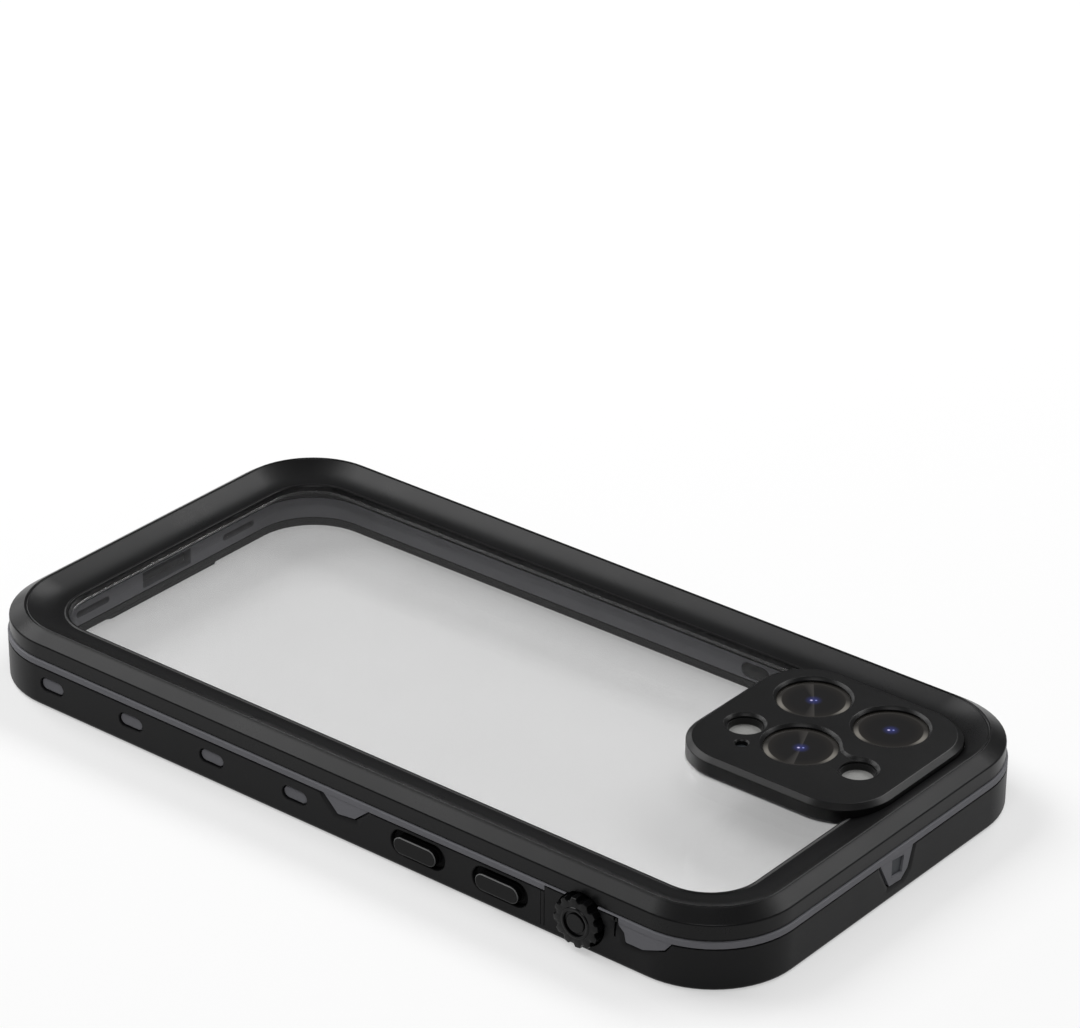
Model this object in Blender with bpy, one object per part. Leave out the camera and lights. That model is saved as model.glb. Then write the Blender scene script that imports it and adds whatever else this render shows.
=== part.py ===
"""A waterproof case for a flat handheld device, modelled as its separate pieces.

The case lies on its front rim with the clear rear cover up.
X runs along the case to its camera end, Y across it and Z up.
The origin is the centre of the rim's face. Every size is in metres.
"""
import math

import bmesh
import bpy
from mathutils import Matrix

for old_object in list(bpy.data.objects):
    bpy.data.objects.remove(old_object, do_unlink=True)

# The device that the case is made for
DEVICE_LENGTH = 0.1467
DEVICE_WIDTH = 0.0715
DEVICE_THICKNESS = 0.0074
DEVICE_CLEARANCE = 0.00045

# Gaps between pieces: seated, close, glued and running
SEAT_GAP = 0.0003
SLIM_GAP = 0.00015
BOND_GAP = 0.0001
RUN_GAP = 0.0001
CUT_OVERRUN = 0.001

# Walls, from the outside in
SHELL_WALL = 0.0015
LINER_WALL = 0.0038
CORNER_RADIUS = 0.0155
CORNER_TAPER = 0.72
CORNER_STEPS = 8

# Front rim and screen film
RIM_WIDTH = 0.002
RIM_ROUND = 0.0008
RIM_CHAMFER = 0.0002
FILM_RECESS = 0.0007
FILM_THICKNESS = 0.00035
GASKET_THICKNESS = 0.00035
SHELF_THICKNESS = 0.0009
RIM_TAB_REACH = 0.0026
RIM_TAB_WIDTH = 0.026
RIM_TAB_SLANT = 0.004
EARPIECE_LENGTH = 0.024
EARPIECE_WIDTH = 0.0012
EARPIECE_OUTSIDE_DEVICE = 0.0018

# Seam between the halves
BAND_HEIGHT = 0.00115
BAND_CHAMFER = 0.00015
REAR_RISE = 0.0003
REAR_SEAT_GAP = 0.00025
TONGUE_WALL = 0.0022
TONGUE_DEPTH = 0.00195
TONGUE_CHAMFER = 0.0002
SEAL_HEIGHT = 0.001
SEAL_DEPTH = 0.00095
SEAL_DROP = 0.00055

# Rear frame section
REAR_INSET = 0.0003
REAR_WALL_HEIGHT = 0.00235
REAR_EDGE_ROUND = 0.0004
BEVEL_WIDTH = 0.0021
BEVEL_RISE = 0.0012
CREST_WIDTH = 0.0004
CREST_RISE = 0.00015
CREASE_WIDTH = 0.0003
CREASE_DEPTH = 0.0002
DISH_FALL = 0.00185
DISH_WIDTH = 0.0054
DISH_STEPS = 6
DISH_CURVE = 1.6
BEAD_WIDTH = 0.0007
BEAD_RISE = 0.00015

# Clear rear window
WINDOW_CLEARANCE = 0.00055
WINDOW_FLANGE = 0.0006
WINDOW_STEP = 0.0006
WINDOW_CHAMFER = 0.00015

# Camera plate, its windows and their places from the device's top and side edges
CAMERA_FROM_TOP = 0.01855
CAMERA_FROM_SIDE = 0.02035
CAMERA_LENGTH = 0.0376
CAMERA_WIDTH = 0.036
CAMERA_CORNER = 0.0095
CAMERA_HEIGHT = 0.0027
CAMERA_EDGE = 0.0006
CAMERA_WALL = 0.0014
CAMERA_ROOF = 0.0015
LENS_DIAMETER = 0.0131
LENS_RIM = 0.00045
LENS_LEDGE = 0.0008
LENS_BEVEL_DEPTH = 0.0004
GLASS_THICKNESS = 0.0006
GLASS_CHAMFER = 0.0001
FLASH_DIAMETER = 0.007
FLASH_LEDGE = 0.00035
SENSOR_DIAMETER = 0.0068
MICROPHONE_DIAMETER = 0.0022
MICROPHONE_SEAT = 0.0034
LENS_PLACES = {
    "main": (-0.0084, 0.0086),
    "wide": (0.0066, 0.0088),
    "tele": (-0.0012, -0.0048),
}
FLASH_PLACE = (-0.0118, -0.0052)
SENSOR_PLACE = (0.0101, -0.0052)
MICROPHONE_PLACE = (-0.0086, -0.0105)
CIRCLE_STEPS = 28

# Grip pads that show through slots in the shell
PAD_LENGTH = 0.0052
PAD_HEIGHT = 0.0024
PAD_DROP = 0.00035
PAD_PITCH = 0.01787
PAD_FROM_BOTTOM = 0.01305
PAD_SUNK = 0.0005
PAD_MARGIN = 0.001
PAD_STEPS = 5

# Push buttons, placed from the device's top edge
BUTTON_DROP = 0.00025
BUTTON_LENGTH = 0.0086
POWER_LENGTH = 0.0125
BUTTON_HEIGHT = 0.003
BUTTON_PROUD = 0.0009
BUTTON_ROUND = 0.00035
BUTTON_MARGIN_ALONG = 0.0012
BUTTON_MARGIN_UP = 0.0007
FLANGE_MARGIN = 0.0004
FLANGE_FRONT = 0.0003
FLANGE_THICKNESS = 0.0007
STEM_LENGTH = 0.0044
STEM_HEIGHT = 0.0013
PLUNGER_MARGIN = 0.0006
PLUNGER_THICKNESS = 0.001
PLUNGER_POCKET = 0.0013
RING_WIDTH = 0.0006
RING_DEPTH = 0.0008
BUTTON_STEPS = 7
VOLUME_UP_FROM_TOP = 0.038
VOLUME_DOWN_FROM_TOP = 0.05445
POWER_FROM_TOP = 0.04735

# Mute knob
KNOB_FROM_TOP = 0.02215
KNOB_RISE = 0.0004
KNOB_DIAMETER = 0.0081
KNOB_TOOTH = 0.0005
KNOB_TEETH = 12
KNOB_PROUD = 0.0016
KNOB_SUNK = 0.0012
KNOB_EDGE = 0.00025
KNOB_RECESS_GAP = 0.0005
KNOB_RING_RADIUS = 0.0027
KNOB_DOME_RADIUS = 0.0017
KNOB_RELIEF = 0.0002
SHAFT_DIAMETER = 0.0022
FORK_REACH = 0.0023
FORK_WIDTH = 0.0016
FORK_SLOT = 0.0006
FORK_THICKNESS = 0.001
KNOB_TURN = math.radians(50)
HOUSING_WIDTH = 0.0139
HOUSING_PROUD = 0.00015
HOUSING_RISE = 0.001

# Port cover, its plug and its hinge
PORT_COVER_WIDTH = 0.0185
PORT_PIN_INSET = 0.001
PORT_PIN_HEIGHT = 0.0019
PORT_PIN_DIAMETER = 0.001
PORT_PIN_GRIP = 0.0016
PORT_BARREL_DIAMETER = 0.0024
PORT_PROUD = 0.0008
PORT_LIP_PROUD = 0.0005
PORT_LIP_HEIGHT = 0.001
PORT_SLANT_RISE = 0.0016
PORT_GRIP_LENGTH = 0.0096
PORT_GRIP_HEIGHT = 0.002
PORT_GRIP_GROOVE = 0.00035
PORT_GRIP_DEPTH = 0.0004
PORT_HOLE_WIDTH = 0.012
PORT_HOLE_HEIGHT = 0.00305
PLUG_DEPTH = 0.0028
PLUG_STEPS = 8

# Panels beside the port cover
PANEL_GAP_FROM_COVER = 0.0015
PANEL_LENGTH = 0.015
PANEL_SLANT = 0.0012
PANEL_FOOT = 0.0031
PANEL_BORDER = 0.0008
PANEL_SUNK = 0.0004
MEMBRANE_THICKNESS = 0.0004
SOUND_SLOT_LENGTH = 0.008
SOUND_SLOT_HEIGHT = 0.0012

# Raised liner shapes that show in notches of the shell
SHOW_INSET = 0.0001
NOTCH_GAP = 0.0002
FIRST_CHEVRON = ((-0.0008, 1.0), (0.0024, 0.0), (0.0059, 0.15), (0.009, 1.0))
FIRST_CHEVRON_FROM_TOP = 0.07335
SECOND_CHEVRON = ((-0.0018, 1.0), (-0.001, 0.8), (-0.0002, 0.55), (0.0001, 0.0),
                  (0.0033, 0.0), (0.0072, 0.5), (0.0085, 1.0))
SECOND_CHEVRON_FROM_TOP = 0.01375
CHEVRON_DEPTH = 0.0028
TOP_CHEVRON = ((-0.00385, 1.0), (-0.0011, 0.04), (0.002, 0.0), (0.0037, 0.27), (0.005, 1.0))
TOP_CHEVRON_DEPTH = 0.005
TOP_MEMBRANE = ((-0.0009, 0.82), (-0.0001, 0.2), (0.0016, 0.2), (0.0024, 0.82))

# Corner slots at the port end
PRY_SLOT_HEIGHT = 0.0008
PRY_SLOT_DEPTH = 0.0014
PRY_SLOT_SPAN = 0.0125
LANYARD_WIDTH = 0.0042
LANYARD_HEIGHT = 0.0034
LANYARD_DEPTH = 0.0026
LANYARD_ANGLE = math.radians(28)
LANYARD_BAR = 0.0011

# Plan sizes and insets that follow
CAVITY_INSET = SHELL_WALL + SEAT_GAP + LINER_WALL
HALF_LENGTH = DEVICE_LENGTH / 2 + DEVICE_CLEARANCE + CAVITY_INSET
HALF_WIDTH = DEVICE_WIDTH / 2 + DEVICE_CLEARANCE + CAVITY_INSET
LINER_INSET = SHELL_WALL + SEAT_GAP
TONGUE_INSET = CAVITY_INSET - TONGUE_WALL
LINER_STEP_INSET = TONGUE_INSET - SEAT_GAP

# Heights that follow
FILM_TOP = FILM_RECESS + FILM_THICKNESS
GASKET_LOW = FILM_TOP + BOND_GAP
SHELF_LOW = GASKET_LOW + GASKET_THICKNESS + BOND_GAP
SHELF_TOP = SHELF_LOW + SHELF_THICKNESS
LINER_LOW = SHELF_TOP + SEAT_GAP
DEVICE_LOW = FILM_TOP + BOND_GAP
DEVICE_TOP = DEVICE_LOW + DEVICE_THICKNESS
DEVICE_MIDDLE = (DEVICE_LOW + DEVICE_TOP) / 2
REAR_LOW = DEVICE_TOP + REAR_RISE
BAND_TOP = REAR_LOW - REAR_SEAT_GAP
BAND_LOW = BAND_TOP - BAND_HEIGHT
SHELL_TOP = BAND_LOW - SLIM_GAP
TONGUE_LOW = REAR_LOW - TONGUE_DEPTH
LINER_LEDGE = TONGUE_LOW - SEAT_GAP
WINDOW_LOW = DEVICE_TOP + WINDOW_CLEARANCE
FLANGE_TOP = WINDOW_LOW + WINDOW_FLANGE
WINDOW_TOP = FLANGE_TOP + WINDOW_STEP
LIP_LOW = FLANGE_TOP + REAR_SEAT_GAP
CAMERA_LOW = FLANGE_TOP + BOND_GAP
CAMERA_TOP = WINDOW_TOP + CAMERA_HEIGHT
CAMERA_CEILING = CAMERA_TOP - CAMERA_ROOF
CAMERA_X = DEVICE_LENGTH / 2 - CAMERA_FROM_TOP
CAMERA_Y = DEVICE_WIDTH / 2 - CAMERA_FROM_SIDE
DEVICE_END = DEVICE_LENGTH / 2

# Each wall has a frame of its own: x along the wall, y up, z out of the case
WALL_TURNS = {"volume": 0.0, "top": math.pi / 2, "power": math.pi, "port": -math.pi / 2}
WALL_SIGNS = {"volume": 1, "top": 1, "power": -1, "port": -1}
STAND_UP = Matrix.Rotation(math.pi / 2, 4, "X")
SIDEWAYS = Matrix.Rotation(math.pi / 2, 4, "Z")


def wall_frame(wall, along=0.0, height=0.0, out=0.0):
    """The matrix of a place on a wall, out of or, when negative, into the wall's outer face."""
    reach = HALF_WIDTH if wall in ("volume", "power") else HALF_LENGTH
    place = Matrix.Translation((along * WALL_SIGNS[wall], -reach - out, height))
    return Matrix.Rotation(WALL_TURNS[wall], 4, "Z") @ place @ STAND_UP


def rounded_rectangle(half_x, half_y, radius, steps=CORNER_STEPS):
    """Points round a rounded rectangle, one quarter arc a corner."""
    points = []
    for corner, (side_x, side_y) in enumerate(((1, 1), (-1, 1), (-1, -1), (1, -1))):
        for step in range(steps + 1):
            angle = (corner + step / steps) * math.pi / 2
            x = side_x * (half_x - radius) + radius * math.cos(angle)
            y = side_y * (half_y - radius) + radius * math.sin(angle)
            points.append((x, y))
    return points


def case_outline(inset):
    """The case's plan at a distance in from its outer wall; corners tighten towards the window."""
    radius = CORNER_RADIUS - CORNER_TAPER * inset
    return rounded_rectangle(HALF_LENGTH - inset, HALF_WIDTH - inset, radius)


def camera_outline(inset):
    """The camera plate's plan at a distance in from its own edge."""
    half_x = CAMERA_LENGTH / 2 - inset
    half_y = CAMERA_WIDTH / 2 - inset
    return shifted(rounded_rectangle(half_x, half_y, CAMERA_CORNER - inset), CAMERA_X, CAMERA_Y)


def shifted(outline, along_x, along_y):
    return [(x + along_x, y + along_y) for x, y in outline]


def stadium(length, height, steps=BUTTON_STEPS):
    """A slot shape: two half circles joined by straight sides."""
    radius = height / 2
    reach = (length - height) / 2
    points = []
    for side in (1, -1):
        for step in range(steps + 1):
            angle = math.pi * (step / steps - side / 2)
            points.append((side * reach + radius * math.cos(angle), radius * math.sin(angle)))
    return points


def circle(radius, steps=CIRCLE_STEPS):
    return [(radius * math.cos(2 * math.pi * step / steps), radius * math.sin(2 * math.pi * step / steps))
            for step in range(steps)]


def section(outline, height):
    """An outline as a loop of points at one height."""
    return [(x, y, height) for x, y in outline]


def case_profile(profile):
    """Loops round the whole case from pairs of inset and height."""
    return [section(case_outline(inset), height) for inset, height in profile]


def prism(outline, low, high):
    return [section(outline, low), section(outline, high)]


def slab(outline, half_width):
    """Loops that push an outline of heights and reaches sideways, both ways from the middle."""
    return [[(side * half_width, up, out) for up, out in outline] for side in (-1, 1)]


def arc(centre, radius, first, last, steps):
    """Points on an arc, angles in degrees."""
    points = []
    for step in range(steps + 1):
        angle = math.radians(first + (last - first) * step / steps)
        points.append((centre[0] + radius * math.cos(angle), centre[1] + radius * math.sin(angle)))
    return points


def add_loft(bm, loops, closed=False, matrix=None):
    """Join loops of equal length with quads; an open loft is capped and a closed one is a ring."""
    rows = [[bm.verts.new(point) for point in loop] for loop in loops]
    pairs = list(zip(rows, rows[1:] + rows[:1])) if closed else list(zip(rows, rows[1:]))
    faces = []
    for lower, upper in pairs:
        for index in range(len(lower)):
            after = (index + 1) % len(lower)
            faces.append(bm.faces.new((lower[index], lower[after], upper[after], upper[index])))
    if not closed:
        faces.append(bm.faces.new(list(reversed(rows[0]))))
        faces.append(bm.faces.new(rows[-1]))
    bmesh.ops.recalc_face_normals(bm, faces=faces)
    if matrix is not None:
        bmesh.ops.transform(bm, matrix=matrix, verts=[vert for row in rows for vert in row])


def plain_material(name, color, roughness, metallic=0.0, alpha=1.0):
    material = bpy.data.materials.new(name)
    material.use_nodes = True
    shader = material.node_tree.nodes["Principled BSDF"]
    shader.inputs["Base Color"].default_value = (*color, 1.0)
    shader.inputs["Roughness"].default_value = roughness
    shader.inputs["Metallic"].default_value = metallic
    shader.inputs["Alpha"].default_value = alpha
    return material


def new_object(name, bm, material=None, frame=None, parent=None):
    """Turn a mesh under construction into an object in the scene."""
    mesh = bpy.data.meshes.new(name)
    bm.to_mesh(mesh)
    bm.free()
    item = bpy.data.objects.new(name, mesh)
    bpy.context.scene.collection.objects.link(item)
    if material is not None:
        mesh.materials.append(material)
    if parent is not None:
        item.parent = parent
    if frame is not None:
        item.matrix_basis = frame
    return item


def solid(name, material, *lofts, closed=False, frame=None, parent=None, smooth=None):
    """An object made of one or more lofts."""
    bm = bmesh.new()
    for loops in lofts:
        add_loft(bm, loops, closed)
    item = new_object(name, bm, material, frame, parent)
    if smooth is not None:
        shade(item, smooth)
    return item


def shade(item, degrees):
    item.data.shade_smooth()
    item.data.set_sharp_from_angle(angle=math.radians(degrees))


def guide(name, *lofts, closed=False):
    """A cutter or a shape to be joined: pairs of loops and the matrix that places them."""
    bm = bmesh.new()
    for loops, matrix in lofts:
        add_loft(bm, loops, closed, matrix)
    item = new_object(name, bm)
    item.hide_render = True
    item.display_type = "WIRE"
    return item


def combine(target, operation, *tools):
    for tool in tools:
        modifier = target.modifiers.new(tool.name, "BOOLEAN")
        modifier.operation = operation
        modifier.object = tool


def cut(target, *tools):
    combine(target, "DIFFERENCE", *tools)


def join(target, *tools):
    combine(target, "UNION", *tools)


def keep_inside(target, *tools):
    combine(target, "INTERSECT", *tools)


def axis_empty(name, frame):
    empty = bpy.data.objects.new(name, None)
    bpy.context.scene.collection.objects.link(empty)
    empty.matrix_basis = frame
    return empty


# Places along the walls
PAD_LEVEL = DEVICE_MIDDLE - PAD_DROP
BUTTON_LEVEL = DEVICE_MIDDLE - BUTTON_DROP
KNOB_LEVEL = DEVICE_MIDDLE + KNOB_RISE
KNOB_X = DEVICE_END - KNOB_FROM_TOP
BUTTONS = {
    "volume_up": ("volume", DEVICE_END - VOLUME_UP_FROM_TOP, BUTTON_LENGTH),
    "volume_down": ("volume", DEVICE_END - VOLUME_DOWN_FROM_TOP, BUTTON_LENGTH),
    "power": ("power", DEVICE_END - POWER_FROM_TOP, POWER_LENGTH),
}
KNOB_RECESS_RADIUS = KNOB_DIAMETER / 2 + KNOB_RECESS_GAP
PORT_OPENING_WIDTH = PORT_COVER_WIDTH + 2 * SEAT_GAP
PORT_FRAME = wall_frame("port", 0.0, PORT_PIN_HEIGHT, -PORT_PIN_INSET)


def chevron_outline(shape, depth, grow=0.0, sign=1):
    """A chevron that hangs from the band; its heights are shares of its depth."""
    foot = BAND_LOW - depth
    points = []
    for along, share in shape:
        if share == 1.0:
            up = BAND_LOW + CUT_OVERRUN / 4
            side = -1 if along == shape[0][0] else 1
        else:
            up = foot + share * depth - grow
            side = -1 if along < (shape[0][0] + shape[-1][0]) / 2 else 1
        points.append((sign * (along + side * grow), up))
    return points


CHEVRONS = (
    ("volume", DEVICE_END - FIRST_CHEVRON_FROM_TOP, FIRST_CHEVRON, CHEVRON_DEPTH),
    ("volume", DEVICE_END - SECOND_CHEVRON_FROM_TOP, SECOND_CHEVRON, CHEVRON_DEPTH),
    ("top", 0.0, TOP_CHEVRON, TOP_CHEVRON_DEPTH),
)


def taken_stretches(wall):
    """The stretches of a wall that its controls and chevrons take up."""
    stretches = []
    for button_wall, along, length in BUTTONS.values():
        if button_wall == wall:
            half = length / 2 + BUTTON_MARGIN_ALONG
            stretches.append((along - half, along + half))
    for chevron_wall, along, shape, _ in CHEVRONS:
        if chevron_wall == wall:
            stretches.append((along + shape[0][0], along + shape[-1][0]))
    if wall == "volume":
        stretches.append((KNOB_X - HOUSING_WIDTH / 2, KNOB_X + HOUSING_WIDTH / 2))
    return stretches


def pad_places():
    """Wall and distance along it of every grip pad; a pad gives way to what stands in its place."""
    places = []
    half = PAD_LENGTH / 2 + PAD_MARGIN
    last = HALF_LENGTH - CORNER_RADIUS - half
    for wall in ("volume", "power"):
        along = PAD_FROM_BOTTOM - DEVICE_END
        while along <= last:
            if all(along + half < low or along - half > high for low, high in taken_stretches(wall)):
                places.append((wall, along))
            along += PAD_PITCH
    return places


def panel_outline(side, inset=0.0):
    """A panel beside the port cover, its outer end slanted, with its border's inset."""
    near = PORT_COVER_WIDTH / 2 + PANEL_GAP_FROM_COVER + inset
    far = PORT_COVER_WIDTH / 2 + PANEL_GAP_FROM_COVER + PANEL_LENGTH - inset
    low = PANEL_FOOT + inset
    high = BAND_LOW - inset
    return [(side * near, low), (side * (far - PANEL_SLANT), low), (side * far, high), (side * near, high)]


# Front half
def front_frame(material):
    """The hard outer shell with the front rim and the shelf that the film is glued to."""
    rim_outer = [(RIM_ROUND - x, RIM_ROUND - y) for x, y in arc((0.0, 0.0), RIM_ROUND, 90, 0, 3)]
    profile = rim_outer + [
        (0.0, SHELL_TOP),
        (SHELL_WALL, SHELL_TOP),
        (SHELL_WALL, SHELF_TOP),
        (CAVITY_INSET, SHELF_TOP),
        (CAVITY_INSET, SHELF_LOW),
        (RIM_WIDTH, SHELF_LOW),
        (RIM_WIDTH, RIM_CHAMFER),
        (RIM_WIDTH - RIM_CHAMFER, 0.0),
    ]
    frame = solid("front_frame", material, case_profile(profile), closed=True)
    join(frame, guide("rim_tab_form", (prism(rim_tab_outline(0.0), 0.0, SHELF_LOW + BOND_GAP), None)))
    join(frame, knob_housing(0.0))
    cut(frame, pad_slots(), button_recesses(), knob_recess("knob_recess", SHELL_WALL + SLIM_GAP))
    cut(frame, chevron_notches(), panel_notches(), port_notch(), port_pin_hole())
    cut(frame, lanyard_slot("lanyard_slot", SHELL_WALL + SEAT_GAP, 0.0))
    join(frame, lanyard_bar())
    shade(frame, 30)
    return frame


def rim_tab_outline(grow):
    """The rim widens inwards at the port, where the hinge takes up its depth."""
    root = HALF_LENGTH - RIM_WIDTH + RIM_CHAMFER / 2
    tip = HALF_LENGTH - RIM_WIDTH - RIM_TAB_REACH - grow
    half_tip = RIM_TAB_WIDTH / 2 + grow
    half_root = half_tip + RIM_TAB_SLANT
    return [(-root, half_root), (-root, -half_root), (-tip, -half_tip), (-tip, half_tip)]


def knob_housing(grow):
    """A block that carries the shell up past the band on both sides of the knob."""
    half = HOUSING_WIDTH / 2 + grow
    low = SHELL_TOP - HOUSING_RISE - grow
    high = SHELL_TOP + HOUSING_RISE + grow
    outline = [(-half, low), (half, low), (half, high), (-half, high)]
    name = "housing_form" if grow == 0.0 else "housing_room"
    depth = SHELL_WALL - BOND_GAP + grow
    return guide(name, (prism(outline, -depth, HOUSING_PROUD + grow), wall_frame("volume", KNOB_X)))


def pad_slots():
    outline = stadium(PAD_LENGTH, PAD_HEIGHT, PAD_STEPS)
    depth = SHELL_WALL + SLIM_GAP
    lofts = []
    for wall, along in pad_places():
        lofts.append((prism(outline, -depth, CUT_OVERRUN), wall_frame(wall, along, PAD_LEVEL)))
    return guide("pad_slots", *lofts)


def button_recesses():
    lofts = []
    depth = SHELL_WALL + SLIM_GAP
    for wall, along, length in BUTTONS.values():
        outline = stadium(length + 2 * BUTTON_MARGIN_ALONG, BUTTON_HEIGHT + 2 * BUTTON_MARGIN_UP)
        lofts.append((prism(outline, -depth, CUT_OVERRUN), wall_frame(wall, along, BUTTON_LEVEL)))
    return guide("button_recesses", *lofts)


def knob_recess(name, depth):
    """The round room of the knob, which also arches into the rear frame."""
    loops = prism(circle(KNOB_RECESS_RADIUS), -depth, CUT_OVERRUN)
    return guide(name, (loops, wall_frame("volume", KNOB_X, KNOB_LEVEL)))


def chevron_notches():
    lofts = []
    for wall, along, shape, depth in CHEVRONS:
        outline = chevron_outline(shape, depth, NOTCH_GAP)
        lofts.append((prism(outline, -SHELL_WALL - CUT_OVERRUN, CUT_OVERRUN), wall_frame(wall, along)))
    return guide("chevron_notches", *lofts)


def panel_notches():
    lofts = []
    for side in (-1, 1):
        outline = panel_outline(side, -NOTCH_GAP)
        lofts.append((prism(outline, -SHELL_WALL - SLIM_GAP, CUT_OVERRUN), wall_frame("port")))
    return guide("panel_notches", *lofts)


def port_notch():
    """The full-height gap in the shell that the port cover closes."""
    half = PORT_OPENING_WIDTH / 2
    barrel = PORT_BARREL_DIAMETER / 2 + SEAT_GAP
    high = SHELL_TOP + CUT_OVERRUN
    deep = PORT_PIN_INSET + barrel
    pocket_top = PORT_PIN_HEIGHT + barrel
    wall_depth = SHELL_WALL + SLIM_GAP
    outline = [(-CUT_OVERRUN, CUT_OVERRUN), (-CUT_OVERRUN, -deep), (pocket_top, -deep),
               (pocket_top, -wall_depth), (high, -wall_depth), (high, CUT_OVERRUN)]
    return guide("port_notch", (slab(outline, half), wall_frame("port")))


def port_pin_hole():
    half = PORT_OPENING_WIDTH / 2 + PORT_PIN_GRIP + RUN_GAP
    outline = circle(PORT_PIN_DIAMETER / 2 + RUN_GAP, 16)
    return guide("port_pin_hole", (slab(outline, half), PORT_FRAME))


def lanyard_frame():
    """The place of the lanyard slot on the rounded corner between the port and volume walls."""
    centre_x = -(HALF_LENGTH - CORNER_RADIUS)
    centre_y = -(HALF_WIDTH - CORNER_RADIUS)
    turn = Matrix.Rotation(-math.pi / 2 + LANYARD_ANGLE, 4, "Z")
    middle = (SHELF_TOP + SHELL_TOP) / 2
    to_wall = Matrix.Translation((0.0, -CORNER_RADIUS, middle))
    return Matrix.Translation((centre_x, centre_y, 0.0)) @ turn @ to_wall @ STAND_UP


def lanyard_slot(name, depth, grow):
    half_x = LANYARD_WIDTH / 2 + grow
    half_y = LANYARD_HEIGHT / 2 + grow
    outline = rounded_rectangle(half_x, half_y, half_y / 2, 4)
    return guide(name, (prism(outline, -depth, CUT_OVERRUN), lanyard_frame()))


def lanyard_bar():
    """The post inside the slot that a lanyard loops round."""
    frame = lanyard_frame() @ Matrix.Translation((0.0, 0.0, -SHELL_WALL / 2)) @ STAND_UP
    reach = LANYARD_HEIGHT / 2 + SEAT_GAP
    return guide("lanyard_bar", (prism(circle(LANYARD_BAR / 2, 12), -reach, reach), frame))


def soft_liner(material):
    """The rubbery inner frame: its band, pads and chevrons show between the hard pieces."""
    profile = [
        (LINER_INSET, LINER_LOW),
        (LINER_INSET, BAND_LOW),
        (BAND_CHAMFER, BAND_LOW),
        (0.0, BAND_LOW + BAND_CHAMFER),
        (0.0, BAND_TOP - BAND_CHAMFER),
        (BAND_CHAMFER, BAND_TOP),
        (LINER_STEP_INSET, BAND_TOP),
        (LINER_STEP_INSET, LINER_LEDGE),
        (CAVITY_INSET, LINER_LEDGE),
        (CAVITY_INSET, LINER_LOW),
    ]
    liner = solid("soft_liner", material, case_profile(profile), closed=True)
    join(liner, liner_pads(), liner_chevrons(), liner_panels())
    cut(liner, knob_housing(SLIM_GAP), knob_recess("knob_room", LINER_INSET - BOND_GAP))
    cut(liner, button_bores(), button_ring_seats(), plunger_pockets())
    cut(liner, knob_bore(), fork_pocket())
    cut(liner, port_hole(), port_cover_room(), port_barrel_room())
    cut(liner, panel_pockets(), sound_slots(), top_membrane_pocket(), top_sound_hole())
    cut(liner, lanyard_slot("lanyard_room", LANYARD_DEPTH, SLIM_GAP))
    shade(liner, 30)
    return liner


def raised_ring(name, inset, low, high):
    """A ring of liner that is kept only where a raised shape shows."""
    inner = LINER_INSET + SEAT_GAP
    profile = [(inset, low), (inset, high), (inner, high), (inner, low)]
    return guide(name, (case_profile(profile), None), closed=True)


def liner_pads():
    pads = raised_ring("pad_ring", PAD_SUNK, LINER_LOW + BOND_GAP, BAND_LOW)
    outline = stadium(PAD_LENGTH - 2 * NOTCH_GAP, PAD_HEIGHT - 2 * NOTCH_GAP, PAD_STEPS)
    lofts = []
    for wall, along in pad_places():
        lofts.append((prism(outline, -CUT_OVERRUN * 4, CUT_OVERRUN), wall_frame(wall, along, PAD_LEVEL)))
    keep_inside(pads, guide("pad_shapes", *lofts))
    return pads


def liner_chevrons():
    shapes = raised_ring("chevron_ring", SHOW_INSET, LINER_LOW / 2, BAND_LOW + BOND_GAP)
    lofts = []
    for wall, along, shape, depth in CHEVRONS:
        outline = chevron_outline(shape, depth)
        lofts.append((prism(outline, -CUT_OVERRUN * 4, CUT_OVERRUN), wall_frame(wall, along)))
    keep_inside(shapes, guide("chevron_shapes", *lofts))
    return shapes


def liner_panels():
    """The raised borders of the two panels beside the port."""
    lofts = []
    for side in (-1, 1):
        near, low_far, high_far, high_near = panel_outline(side)
        top = BAND_LOW + BOND_GAP
        outline = [near, low_far, (high_far[0], top), (high_near[0], top)]
        lofts.append((prism(outline, -LINER_INSET - SEAT_GAP, -SHOW_INSET), wall_frame("port")))
    return guide("panel_shapes", *lofts)


def button_bores():
    lofts = []
    outline = stadium(STEM_LENGTH + 2 * RUN_GAP, STEM_HEIGHT + 2 * RUN_GAP)
    for wall, along, _ in BUTTONS.values():
        loops = prism(outline, -CAVITY_INSET - CUT_OVERRUN, 0.0)
        lofts.append((loops, wall_frame(wall, along, BUTTON_LEVEL)))
    return guide("button_bores", *lofts)


def ring_seat_size(length, height):
    """The seat round a stem that holds its sealing ring."""
    margin = 2 * (RING_WIDTH + 2 * BOND_GAP)
    return length + margin, height + margin


def button_ring_seats():
    lofts = []
    outline = stadium(*ring_seat_size(STEM_LENGTH, STEM_HEIGHT))
    depth = LINER_INSET + RING_DEPTH + 2 * BOND_GAP
    for wall, along, _ in BUTTONS.values():
        lofts.append((prism(outline, -depth, -SHELL_WALL), wall_frame(wall, along, BUTTON_LEVEL)))
    return guide("button_ring_seats", *lofts)


def plunger_pockets():
    lofts = []
    margin = 2 * (PLUNGER_MARGIN + SLIM_GAP)
    outline = stadium(STEM_LENGTH + margin, STEM_HEIGHT + margin)
    shallow = CAVITY_INSET - PLUNGER_POCKET
    for wall, along, _ in BUTTONS.values():
        loops = prism(outline, -CAVITY_INSET - CUT_OVERRUN, -shallow)
        lofts.append((loops, wall_frame(wall, along, BUTTON_LEVEL)))
    return guide("plunger_pockets", *lofts)


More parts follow.
